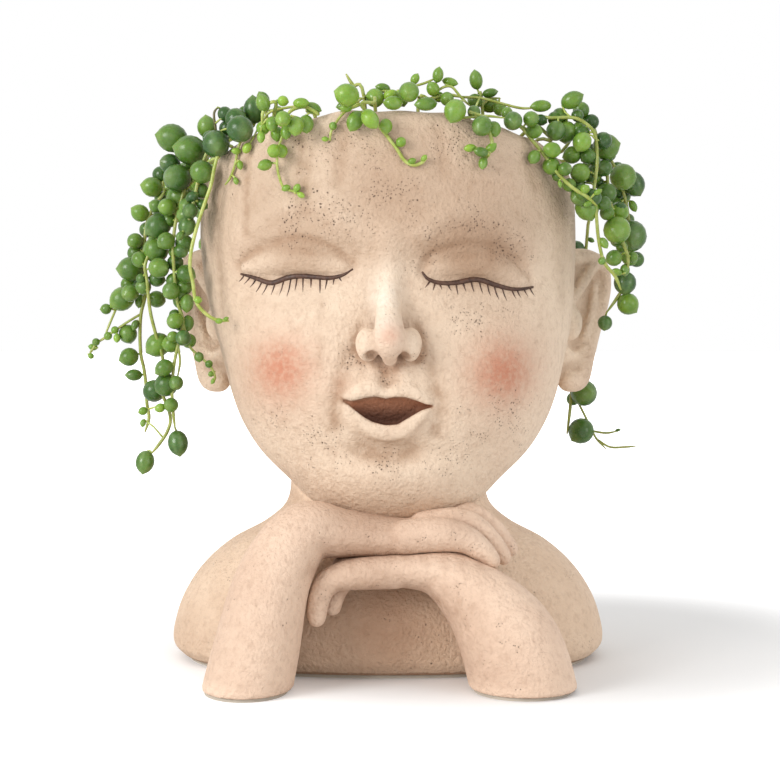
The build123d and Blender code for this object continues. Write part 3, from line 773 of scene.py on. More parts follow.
# The forms round each closed eye, in the photograph's pixels: the brow's ridge, the socket under it,
# the crease over the lid, the fold under it, and the lid with its radius and how far it stands out.
eye_forms_px = {
    "left": {
        "brow": ((238, 237), (262, 221), (285, 208), (305, 202), (325, 206), (340, 216)),
        "socket": ((254, 240), (272, 229), (295, 223), (318, 226), (338, 238), (350, 252)),
        "crease": ((239, 266), (250, 255), (266, 246), (284, 240), (300, 239), (318, 242), (334, 250),
                   (346, 259), (353, 267)),
        "under": ((250, 300), (280, 306), (320, 302)),
        "lid": ((248, 267, 2.6, 0.5), (266, 262, 4.4, 1.3), (284, 259, 5.4, 1.9), (302, 258, 5.6, 2.1),
                (320, 260, 5.0, 1.8), (335, 264, 3.8, 1.2), (346, 267, 2.4, 0.5)),
    },
    "right": {
        "brow": ((426, 232), (443, 219), (460, 213), (480, 212), (504, 221), (527, 242)),
        "socket": ((426, 250), (440, 237), (458, 230), (480, 229), (504, 237), (524, 254)),
        "crease": ((422, 269), (429, 258), (446, 249), (472, 245), (498, 249), (517, 261), (530, 279)),
        "under": ((450, 306), (485, 310), (520, 310)),
        "lid": ((431, 269, 2.4, 0.5), (443, 266, 3.8, 1.2), (458, 264, 5.0, 1.8), (474, 264, 5.6, 2.1),
                (490, 267, 5.4, 1.9), (505, 273, 4.4, 1.3), (520, 281, 2.6, 0.5)),
    },
}

# Soft upright dents under the rim, in the photograph's pixels, with their width and depth.
rim_dents_px = (
    (((219, 168), (218, 215), (221, 300)), 2.6, 0.25),
    (((248, 150), (247, 190), (246, 232)), 2.2, 0.5),
    (((300, 128), (303, 160), (306, 205)), 3.4, 0.6),
    (((345, 125), (342, 150), (338, 180)), 2.6, 0.4),
    (((437, 125), (441, 150), (441, 172)), 2.8, 0.4),
    (((531, 138), (533, 160), (536, 185)), 3.0, 0.5),
)

# The dark lines of the closed lids, in the photograph's pixels from the left to the right.
lid_lines_px = {
    "left": ((241, 274), (249, 276), (258, 279), (272, 283), (287, 278), (300, 276), (315, 277), (330, 278),
             (343, 275), (353, 269)),
    "right": ((422, 272), (428, 279), (440, 283), (455, 283), (470, 280), (480, 280), (495, 285), (510, 289),
              (522, 289), (533, 287)),
}

# Each lash, in the photograph's pixels: its root's place across, and how far it leans and hangs.
lashes_px = {
    "left": ((244, -5, 7), (250, -6, 8), (256, -6, 9), (262, -6, 12), (268, -6, 13), (275, -4, 13),
             (284, -5, 17), (291, -4, 19), (297, -2, 14), (303, 0, 16), (311, 0, 12), (320, 0, 16),
             (327, -2, 13), (334, -1, 8), (339, 3, 6)),
    "right": ((430, -5, 8), (435, -2, 9), (440, 2, 7), (448, 3, 8), (456, 2, 12), (463, 3, 10), (471, 3, 12),
              (479, 4, 14), (487, 4, 15), (494, 5, 15), (502, 5, 14), (512, 4, 10), (517, 4, 9), (524, 4, 8),
              (530, 5, 9)),
}


# Materials
class Paint:
    """A node material under construction, with short names for the nodes it uses."""

    def __init__(self, name):
        self.material = bpy.data.materials.new(name)
        self.material.use_nodes = True
        self.tree = self.material.node_tree
        self.shader = self.tree.nodes["Principled BSDF"]

    def node(self, kind, **settings):
        made = self.tree.nodes.new(kind)
        for name, value in settings.items():
            setattr(made, name, value)
        return made

    def link(self, source, target):
        self.tree.links.new(source, target)

    def place(self):
        """The place on the object, in metres."""
        return self.node("ShaderNodeTexCoord").outputs["Object"]

    def noise(self, scale, detail=4, rough=0.55):
        made = self.node("ShaderNodeTexNoise")
        made.inputs["Scale"].default_value = scale
        made.inputs["Detail"].default_value = detail
        made.inputs["Roughness"].default_value = rough
        self.link(self.place(), made.inputs["Vector"])
        return made.outputs["Fac"]

    def cells(self, scale, feature="F1"):
        made = self.node("ShaderNodeTexVoronoi", feature=feature)
        made.inputs["Scale"].default_value = scale
        self.link(self.place(), made.inputs["Vector"])
        return made.outputs["Distance"]

    def ramp(self, value, low, high, from_value=0.0, to_value=1.0):
        """A smooth step of a value between two levels."""
        made = self.node("ShaderNodeMapRange", interpolation_type="SMOOTHSTEP")
        made.inputs["From Min"].default_value = low
        made.inputs["From Max"].default_value = high
        made.inputs["To Min"].default_value = from_value
        made.inputs["To Max"].default_value = to_value
        self.link(value, made.inputs["Value"])
        return made.outputs["Result"]

    def math(self, operation, a, b):
        made = self.node("ShaderNodeMath", operation=operation)
        for socket, value in zip(made.inputs, (a, b)):
            if isinstance(value, (int, float)):
                socket.default_value = value
            else:
                self.link(value, socket)
        return made.outputs[0]

    def attribute(self, name):
        return self.node("ShaderNodeAttribute", attribute_name=name).outputs["Fac"]

    def cloud(self, scale, detail, *levels):
        """Noise stepped between two levels, and between two values where they are given."""
        return self.ramp(self.noise(scale, detail), *levels)

    def brushed(self, name, cloud):
        """A stored value, broken up by a cloud."""
        return self.math("MULTIPLY", self.attribute(name), self.cloud(*cloud))

    def mix(self, share, a, b):
        """A colour between two others, each a colour or another node's output."""
        made = self.node("ShaderNodeMix", data_type="RGBA")
        for socket, value in ((made.inputs["Factor"], share), (made.inputs[6], a), (made.inputs[7], b)):
            if isinstance(value, tuple):
                socket.default_value = (*value, 1)
            elif isinstance(value, float):
                socket.default_value = value
            else:
                self.link(value, socket)
        return made.outputs[2]

    def bump(self, height, strength, distance, after=None):
        made = self.node("ShaderNodeBump")
        made.inputs["Strength"].default_value = strength
        made.inputs["Distance"].default_value = distance
        self.link(height, made.inputs["Height"])
        if after is not None:
            self.link(after, made.inputs["Normal"])
        return made.outputs["Normal"]

    def finish(self, color, normal=None, roughness=None, **values):
        self.link(color, self.shader.inputs["Base Color"])
        if normal is not None:
            self.link(normal, self.shader.inputs["Normal"])
        if roughness is not None:
            self.link(roughness, self.shader.inputs["Roughness"])
        for name, value in values.items():
            self.shader.inputs[name.replace("_", " ")].default_value = value
        return self.material


# The clay's clouds: scale, detail, the two levels of each, and the two values where they aren't 0 and 1.
clay_clouds = {
    "broad": (28, 3, 0.35, 0.65), "grain": (420, 3, 0.45, 0.75, 0.0, 0.22),
    "crease": (260, 4, 0.25, 0.6, 0.55, 1.0), "shade_and_tan": (70, 3, 0.3, 0.7, 0.76, 0.90),
    "bright": (500, 3, 0.3, 0.6, 0.6, 1.0), "blush": (500, 3, 0.3, 0.62, 0.65, 1.0),
}
# Pale dry-brush paint that also stands for a painted highlight.
pale_highlight_clay = (0.93, 0.84, 0.72)
blush_coral = (0.55, 0.22, 0.13)
# The open mouth's painted shade: reddish brown near its edge and near black deep in, and where each takes
# over.
mouth_shade_rim = (0.30, 0.115, 0.055)
mouth_shade_dark = (0.085, 0.022, 0.008)
mouth_shade_fade = (0.4, 1.0)
mouth_shade_edge = (0.0, 0.45, 0.0, 0.95)
pit_dark = (0.12, 0.065, 0.040)
pit_strength = 0.80

# The pits, large and tiny: the scale of their cells, how near a cell's middle they fade, the scale of
# the noise that gathers them, how much more the stored value gathers, its levels, and their strength.
clay_pits = (
    (560, 0.10, 0.20, 110, 0.22, 0.68, 0.78, 1.0),
    (1050, 0.12, 0.24, 150, 0.26, 0.62, 0.74, 0.8),
)
gather_detail = 2

# The sandy skin: its noise, then the strength and depth in metres of its sand, its cells and its pits.
sand_noise = (900, 5, 0.6)
sand_bump = (0.8, 0.0010)
peel_cells = 850
peel_bump = (0.45, 0.0007)
pit_bump = (1.0, 0.0008)
clay_rough = (0.3, 0.7, 0.55, 0.78)
clay_gloss = 0.35


def clay_specks(paint):
    """Where the clay's skin has dark pits, from 0 to 1."""
    pitted = paint.attribute("pitted")
    specks = []
    for scale, near, far, gather, more, low, high, strength in clay_pits:
        place = paint.ramp(paint.cells(scale), near, far, 1.0, 0.0)
        gathered = paint.math("ADD", paint.noise(gather, gather_detail), paint.math("MULTIPLY", pitted, more))
        speck = paint.math("MULTIPLY", place, paint.ramp(gathered, low, high))
        specks.append(paint.math("MULTIPLY", speck, strength))
    return paint.math("MAXIMUM", *specks)


def clay_material(name, pale, tan, wash_and_shade_brown):
    """Warm cast clay: a sandy skin with pits, brown washes and painted shade in its creases, painted shade
    and tan, a painted highlight with pale dry-brush, painted shade in the open mouth, and coral blush where
    painted.
    """
    paint = Paint(name)
    color = paint.mix(paint.cloud(*clay_clouds["broad"]), pale, tan)
    color = paint.mix(paint.cloud(*clay_clouds["grain"]), color, wash_and_shade_brown)
    # Painted shade with brown washes in the creases, painted shade with tan, a painted highlight with pale
    # dry-brush, and coral blush.
    for layer, tint in (("crease", wash_and_shade_brown), ("shade_and_tan", wash_and_shade_brown), ("bright", pale_highlight_clay), ("blush", blush_coral)):
        color = paint.mix(paint.brushed(layer, clay_clouds[layer]), color, tint)
    # Painted shade in the open mouth, reddish brown near its edge and near black deep in.
    inside = paint.attribute("inside")
    mouth_shade_color = paint.mix(paint.ramp(inside, *mouth_shade_fade), mouth_shade_rim, mouth_shade_dark)
    color = paint.mix(paint.ramp(inside, *mouth_shade_edge), color, mouth_shade_color)
    speck = clay_specks(paint)
    color = paint.mix(paint.math("MULTIPLY", speck, pit_strength), color, pit_dark)
    sand = paint.noise(*sand_noise)
    skin = paint.bump(sand, *sand_bump)
    orange_peel = paint.bump(paint.cells(peel_cells, "SMOOTH_F1"), *peel_bump, skin)
    normal = paint.bump(paint.math("SUBTRACT", 1.0, speck), *pit_bump, orange_peel)
    return paint.finish(color, normal, paint.ramp(sand, *clay_rough), Specular_IOR_Level=clay_gloss)


clay_head = clay_material("cast_clay_head", (0.84, 0.67, 0.51), (0.78, 0.60, 0.45), (0.32, 0.18, 0.10))
clay_arm = clay_material("cast_clay_arm", (0.83, 0.62, 0.47), (0.76, 0.55, 0.41), (0.32, 0.17, 0.10))
clay_bust = clay_material("cast_clay_bust", (0.80, 0.61, 0.45), (0.72, 0.53, 0.38), (0.30, 0.16, 0.09))


# The castings
head_clay = model_head()


def near_face(places, across, up, spread):
    """How near each place on the face's front is to a place across and up, from 0 to 1."""
    away = ((places[:, 0] - across) / spread) ** 2 + ((places[:, 2] - up) / spread) ** 2
    return np.exp(-away) * (places[:, 1] < 0)


def near_line(clay, places, pixels, width):
    """How near each place is to a line on the clay through pixels of the photograph, from 0 to 1."""
    path = smooth_path([skin_spot(clay, u, v) for u, v in pixels], wash_line_points)
    low, high = path.min(0) - line_reach * width, path.max(0) + line_reach * width
    chosen = np.nonzero(np.all((places > low) & (places < high), axis=1))[0]
    near = np.full(len(chosen), np.inf)
    for start_spot, end_spot in zip(path, path[1:]):
        way = end_spot - start_spot
        away = places[chosen] - start_spot
        t = np.clip(away @ way / max(way @ way, least), 0, 1)
        near = np.minimum(near, ((away - t[:, None] * way) ** 2).sum(1))
    share = np.zeros(len(places))
    share[chosen] = np.exp(-near / width**2)
    return share


# Brown washes and painted shade on the head: painted shade in the folds round the eyes, nose and mouth, under
# the upper lip, down the head's right side and beside the chin, a painted shadow down the left cheek, and
# streaks under the rim that are partly stain and partly painted shadow of the hanging strands. Lines in the
# photograph's pixels, with their width and strength.
shade_and_wash_lines_px = (
    (((240, 264), (252, 252), (270, 243), (292, 237), (314, 239), (334, 248), (350, 262)), 2.0, 0.14),
    (((332, 224), (342, 236), (351, 254)), 4.5, 0.16),
    (((424, 262), (430, 250), (450, 242), (474, 239), (498, 243), (518, 256)), 2.6, 0.20),
    (((426, 252), (424, 262), (428, 276)), 4.0, 0.16),
    (((361, 326), (356, 337), (355, 349), (360, 360)), 1.3, 0.35),
    (((417, 326), (422, 338), (423, 350), (418, 361)), 1.3, 0.40),
    (((364, 361), (373, 364), (384, 369)), 1.5, 0.35),
    (((396, 368), (404, 364), (414, 361)), 1.5, 0.35),
    (((352, 352), (343, 370), (339, 388)), 2.6, 0.22),
    (((338, 396), (334, 410), (334, 424)), 3.4, 0.30),
    (((424, 354), (432, 372), (437, 388)), 2.6, 0.18),
    (((438, 398), (440, 414), (436, 430)), 3.4, 0.28),
    (((341, 400), (352, 403), (364, 399), (376, 398), (388, 400), (400, 398), (414, 402), (430, 407)),
     1.2, 0.45),
    (((350, 413), (357, 425), (368, 436), (386, 441), (404, 439), (418, 428), (428, 414)), 1.2, 0.24),
    (((362, 451), (374, 456), (388, 458), (402, 456), (410, 451)), 3.2, 0.20),
    (((219, 168), (218, 215), (220, 265), (224, 320)), 3.0, 0.20),
    (((248, 150), (247, 190), (246, 232)), 1.6, 0.26),
    (((300, 122), (303, 160), (306, 205)), 3.6, 0.30),
    (((345, 122), (342, 150), (338, 180)), 2.6, 0.26),
    (((322, 300), (321, 330), (319, 365)), 1.8, 0.16),
    (((437, 122), (441, 150), (441, 172)), 2.8, 0.20),
    (((531, 138), (533, 160), (536, 185)), 3.4, 0.34),
    (((556, 160), (560, 220), (562, 300)), 5.0, 0.24),
    (((450, 470), (470, 455), (486, 440)), 5.0, 0.14),
)

# Where the skin is thick with dark pits: across, up and how far round, in millimetres.
pit_patches = (
    (-19, 155, 8), (-30, 152, 7), (-13, 150, 5), (15, 149, 6), (40, 146, 8), (26, 153, 7), (12, 141, 4),
    (-12, 108, 5), (12, 110, 4), (-1, 101, 3), (22, 78, 9), (-22, 80, 8), (0, 70, 7), (-38, 88, 8),
    (40, 90, 8), (-8, 176, 9), (20, 178, 8), (-26, 174, 7), (0, 160, 9), (30, 118, 8),
)

# Dabs of colour on the head's front: across, up, how far round, and strength.
blush_dabs = (
    (-35.3, 104.3, 9.5, 0.74), (-35, 103, 15, 0.22), (38, 103.2, 10, 0.76), (38, 102, 15, 0.22),
    (0.8, 115.5, 3.4, 0.50), (0, 108, 8, 0.14), (-15, 99, 4, 0.16), (1, 88, 5, 0.14),
)
# Painted shade with brown washes round the mouth, under the nose and in the nostrils.
shade_and_wash_dabs = ((0, 88, 12, 0.12), (0, 104.5, 5, 0.22), (-5.3, 108.5, 1.8, 0.60), (5.0, 108.3, 1.8, 0.60))
# Painted shade with some tan over the forehead and lids, on the right cheek, round the blushed cheeks, round
# the mouth and under the chin.
shade_and_tan_dabs = (
    (4, 166, 26, 0.66), (46, 160, 22, 0.44), (-44, 160, 20, 0.46), (-29, 141, 12, 0.64), (28, 141, 14, 0.82),
    (0, 66, 12, 0.26), (0, 88, 12, 0.16), (34, 112, 20, 0.18), (-35.3, 104.3, 12, 0.18),
    (38, 103.2, 12, 0.18),
)
# Painted highlight, with pale dry-brush, down the nose's bridge and on its tip.
highlight_dabs = ((-1.5, 127, 4.5, 0.60), (-1, 119, 4.0, 0.40), (-1, 134, 6, 0.20), (0, 112, 7, 0.12))
pit_dabs = tuple((*place, 1) for place in pit_patches)
# Painted shade and tan on the ears, and over how far it fades in.
ear_shade_and_tan = 0.26
ear_shade_reach = 4
# How far round painted shade in creases is judged, its share on the head, and the most that painted shade and
# brown washes may darken.
crease_shade_reach = 3.5
head_crease_shade_share = 0.60
most_shade_and_wash = 0.9

# The open mouth's hollow: half its width, its lowest and highest part, how far forward it lies, and
# how its painted shade deepens behind the face and towards its floor.
mouth_half = 15
mouth_heights = (84.5, 96)
mouth_front = -50
mouth_shade_start = 0.4
mouth_shade_reach = 3.0
mouth_shade_top = 99
mouth_shade_fall = 11
mouth_shade_least = 0.3


def dabs(places, table):
    """How strongly each place is coloured by a table of dabs."""
    return sum(strength * near_face(places, *place) for *place, strength in table)


def paint_all(mesh, values):
    """Stores every value that the clay's material reads, each kept between nothing and its limit."""
    limits = {"crease": most_shade_and_wash, "shade_and_tan": most_shade_and_wash}
    for name, value in values.items():
        paint(mesh, name, np.clip(value, 0, limits.get(name, 1)))


def mouth_shade_depth(places):
    """How deep in the open mouth each place lies, from 0 to 1, which sets its painted shade."""
    across, deep, up = places[:, 0], places[:, 1], places[:, 2]
    within = (np.abs(across) < mouth_half) & (up > mouth_heights[0]) & (up < mouth_heights[1])
    sunk = deep - face_front(across, up)
    depth = np.clip((sunk - mouth_shade_start) / mouth_shade_reach, 0, 1)
    return (within & (deep < mouth_front)) * depth * np.clip((mouth_shade_top - up) / mouth_shade_fall, mouth_shade_least, 1)


def add_head():
    """The cast head with its ears and painted face, with painted shade in its creases and a painted highlight
    on the nose.
    """
    mesh, places = head_clay.skin("head_cast")
    # Painted shade in creases and hollows, and along the lines and dabs, with brown washes.
    crease = head_crease_shade_share * head_clay.hollowness(places, crease_shade_reach) + dabs(places, shade_and_wash_dabs)
    for pixels, width, strength in shade_and_wash_lines_px:
        crease += strength * near_line(head_clay, places, pixels, width)
    on_ear = np.clip((np.abs(places[:, 0] - jaw_lean) - head_half_width) / ear_shade_reach, 0, 1)
    paint_all(mesh, {
        "blush": dabs(places, blush_dabs), "shade_and_tan": dabs(places, shade_and_tan_dabs) + ear_shade_and_tan * on_ear,
        "crease": crease, "inside": mouth_shade_depth(places), "bright": dabs(places, highlight_dabs),
        "pitted": dabs(places, pit_dabs),
    })
    add_piece("head_cast", mesh, clay_head, "planter", ["head_shell", "left_ear", "right_ear"])


add_head()


def head_keepout(x, y, z):
    """The head's form grown by the bond line, for the castings that seat against it."""
    return head_rough(x, y, z, bond_line)


def bust_keepout(x, y, z):
    """The bust's form grown by the bond line."""
    return bust_rough(x, y, z, bond_line)


def model_bust():
    """The hollow bust, open underneath, with its neck cut to seat the head."""
    clay = Clay(*bust_box, clay_step)
    x, y, z = clay.whole()
    clay.field = as_distance(bust_rough(x, y, z, 0), clay.step)
    hollow = as_distance(bust_rough(x, y, z, -bust_wall), clay.step)
    hollow = blend_max(hollow, z - (shoulder_height * bust_hollow_height_share), bust_hollow_round)
    hollow = np.minimum(hollow, np.sqrt(x**2 + (y - neck_bore_back) ** 2) - neck_bore_radius)
    clay.field = np.maximum(clay.field, -hollow)
    clay.field = blend_max(clay.field, pad_thickness - z, bust_foot_round)
    clay.field = np.maximum(clay.field, -head_keepout(x, y, z)).astype(np.float32)
    return clay


def add_casting(name, clay, material, replaced, crease_shade_share, shaded_places, crease_shade_places=()):
    """Skins a block of clay as a piece of the planter, with painted shade in its creases and where given."""
    mesh, places = clay.skin(name)
    plain = np.zeros(len(places))
    # Painted shade in the creases, between and under the parts, and at the places given.
    paint_all(mesh, {
        "shade_and_tan": dabs(places, shaded_places),
        "crease": crease_shade_share * clay.hollowness(places, crease_shade_reach) + dabs(places, crease_shade_places),
        "blush": plain, "inside": plain, "bright": plain, "pitted": plain + casting_pits,
    })
    add_piece(name, mesh, material, "planter", replaced)


# How strongly painted shade fills the bust's and the arms' creases, and how pitted the castings are.
bust_crease_shade_share = 0.8
arm_crease_shade_share = 0.9
casting_pits = 0.12
left_arm_clay = model_arm(left_arm_shares, left_fingers, [head_keepout, bust_keepout])


def left_arm_keepout(x, y, z):
    """The left arm's form, for the hand that lies under it."""
    spots = np.stack(np.broadcast_arrays(x, y, z), -1).reshape(-1, 3)
    shape = np.broadcast_shapes(x.shape, y.shape, z.shape)
    value = left_arm_clay.value(spots).reshape(shape)
    low, high = left_arm_clay.low, left_arm_clay.low + left_arm_clay.step * (left_arm_clay.counts - 1)
    within = (x >= low[0]) & (x <= high[0]) & (y >= low[1]) & (y <= high[1]) & (z >= low[2]) & (z <= high[2])
    return np.where(within, value, FAR) - bond_line


right_arm_clay = model_arm(right_arm_shares, right_fingers, [head_keepout, bust_keepout, left_arm_keepout])
# Painted shade on the bust under the arms, on the upper hand under the chin, on the lower hand under the
# upper one and on the left arm, and along the lines between and under the hands.
bust_shade = ((-3, 22, 22, 0.72), (-3, 8, 26, 0.24))
left_arm_shade = ((-8, 48, 15, 0.60), (24, 54, 8, 0.34), (-45, 20, 30, 0.12))
right_arm_shade = ((-8, 36, 15, 0.50),)
between_hands_shade = tuple((x, z, 2.4, 0.34) for x, z in (
    (-25, 38.6), (-21, 40.0), (-17, 41.0), (-12, 42.0), (-6, 43.0), (0, 43.6), (6, 43.6), (12, 42.8),
    (18, 41.8), (24, 41.0), (30, 40.4),
))
under_hand_shade = tuple((x, z, 2.2, 0.26) for x, z in (
    (-15, 30.6), (-10, 32.0), (-5, 32.6), (0, 31.4), (5, 29.6), (10, 28.8), (16, 28.6), (21, 27.0),
))
add_casting("bust_cast", model_bust(), clay_bust, ["bust"], bust_crease_shade_share, bust_shade)
add_casting("left_arm_cast", left_arm_clay, clay_arm, ["left_arm"], arm_crease_shade_share, left_arm_shade,
            between_hands_shade)
add_casting("right_arm_cast", right_arm_clay, clay_arm, ["right_arm"], arm_crease_shade_share, right_arm_shade,
            between_hands_shade + under_hand_shade)


# Lid lines and lashes
def round_tube(path, sides):
    """Points and faces of a thin round tube along points of x, y, z and radius."""
    path = np.array(path, float)
    points, faces = [], []
    side = None
    for i, point in enumerate(path):
        way = path[min(i + 1, len(path) - 1), :3] - path[max(i - 1, 0), :3]
        way = way / max(np.linalg.norm(way), least)
        if side is None:
            side = np.cross(way, tube_side)
        side = side - way * (side @ way)
        side = side / np.linalg.norm(side)
        up = np.cross(way, side)
        for k in range(sides):
            turn = 2 * math.pi * k / sides
            points.append(point[:3] + point[3] * (math.cos(turn) * side + math.sin(turn) * up))
    for i in range(len(path) - 1):
        for k in range(sides):
            a, b = i * sides + k, i * sides + (k + 1) % sides
            faces.append((a, b, b + sides, a + sides))
    faces.append(tuple(reversed(range(sides))))
    faces.append(tuple(range(len(points) - sides, len(points))))
    return points, faces


def smooth_mesh(name, points, faces):
    """A smooth-shaded mesh of points in millimetres."""
    mesh = bpy.data.meshes.new(name)
    mesh.from_pydata((np.array(points) * MM).tolist(), [], faces)
    mesh.polygons.foreach_set("use_smooth", np.ones(len(faces), bool))
    mesh.update()
    return mesh


def tube_mesh(name, paths):
    """A mesh of thin round tubes, each along points of x, y, z and radius in millimetres."""
    points, faces = [], []
    for path in paths:
        more_points, more_faces = round_tube(path, stem_sides)
        faces.extend(tuple(len(points) + i for i in face) for face in more_faces)
        points.extend(more_points)
    return smooth_mesh(name, points, faces)


# The lid lines' dark brown: a cloud between two tones, its bump, and how rough it is.
line_cloud = (700, 3, 0.35, 0.7)
line_tones = ((0.045, 0.018, 0.010), (0.10, 0.045, 0.026))
line_noise = (900, 4)
line_bump = (0.4, 0.0004)
line_rough = (300, 2, 0.3, 0.7, 0.45, 0.65)


def line_material():
    """Dark brown brushed paint, a little uneven."""
    paint = Paint("brushed_lid_line")
    color = paint.mix(paint.cloud(*line_cloud), *line_tones)
    return paint.finish(color, paint.bump(paint.noise(*line_noise), *line_bump), paint.cloud(*line_rough))


# Painted lid lines and lashes: radius at the ends and how much it swells, and the share of a half turn
# that is left at each end; each lash's radius from root to tip, where its middle lies, and how many
# pixels under the line's middle it starts.
lid_line_radius = 0.25
lid_line_swell = 0.75
lid_line_end = 0.16
lid_line_points = 6
lash_radii = (0.34, 0.27, 0.10)
lash_middle_shares = (0.4, 0.55)
lash_drop_px = 1
lash_points = 4

lid_paint = line_material()


def on_face(u, v):
    """Where the line of sight through a pixel meets the front of the head."""
    return skin_spot(head_clay, u, v, face_sight_end)


for side, line_px in lid_lines_px.items():
    swell_shares = np.sin(np.linspace(lid_line_end, math.pi - lid_line_end, len(line_px)))
    path = [
        (*on_face(u, v), lid_line_radius + lid_line_swell * share)
        for (u, v), share in zip(line_px, swell_shares)
    ]
    paths = [smooth_path(path, lid_line_points)]
    us, vs = np.array(line_px).T
    for u, lean, hang in lashes_px[side]:
        v = float(np.interp(u, us, vs))
        spots = (
            on_face(u, v + lash_drop_px),
            on_face(u + lean * lash_middle_shares[0], v + hang * lash_middle_shares[1]),
            on_face(u + lean, v + hang),
        )
        paths.append(smooth_path([(*spot, radius) for spot, radius in zip(spots, lash_radii)], lash_points))
    piece = bpy.data.objects.new(f"lid_line_{side}", tube_mesh(f"lid_line_{side}", paths))
    bpy.context.scene.collection.objects.link(piece)
    piece.data.materials.append(lid_paint)
    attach(piece, "planter")


# The plant
grow_pot_top_height = 160
grow_pot_top_radius = 50
grow_pot_base_radius = 30
grow_pot_wall = 1.2
mix_drop = 4
seat_gap = 0.3
root_ring_radius = 43
stem_radius = 0.62
shoot_radius = 0.45
stalk_radius = 0.4
pearl_radius = 4.6
skin_gap = 0.25
behind_depth = 20
root_depth = 0.5
root_rise = 4
front_angle = 52
front_lift = 1.6
side_lift = 3.5
shoot_ring_in = 4
stem_points = 5
stem_taper_shares = (0.9, 0.8, 0.65, 0.45)

# Where leaves may lie along their lines of sight, and how they are slid apart.
nearest_depth = -85
nearest_leaf_depth = -82
leaf_depth_room = 8
sight_step = 0.5
leaf_overlap_share = 0.94
spread_rounds = 80
spread_step = 0.35
spread_least = 0.05

# How a leaf sits on its stem: how it sags in each direction, how much its way scatters, where its
# stalk meets it as a share of its half length, and how the stalk bows.
leaf_sag = (0, -0.25, -0.35)
leaf_scatter = 0.15
leaf_length_share = 1.03
stalk_foot_share = 0.96
stalk_bow = 0.6
stalk_waist_share = 0.8
shade_scatter = 0.16
small_leaf_radius = 2
small_leaf_brightness = 0.2
dry_stem_shade = 0.15
stem_shade = 0.55
shortest_stalk = 0.1

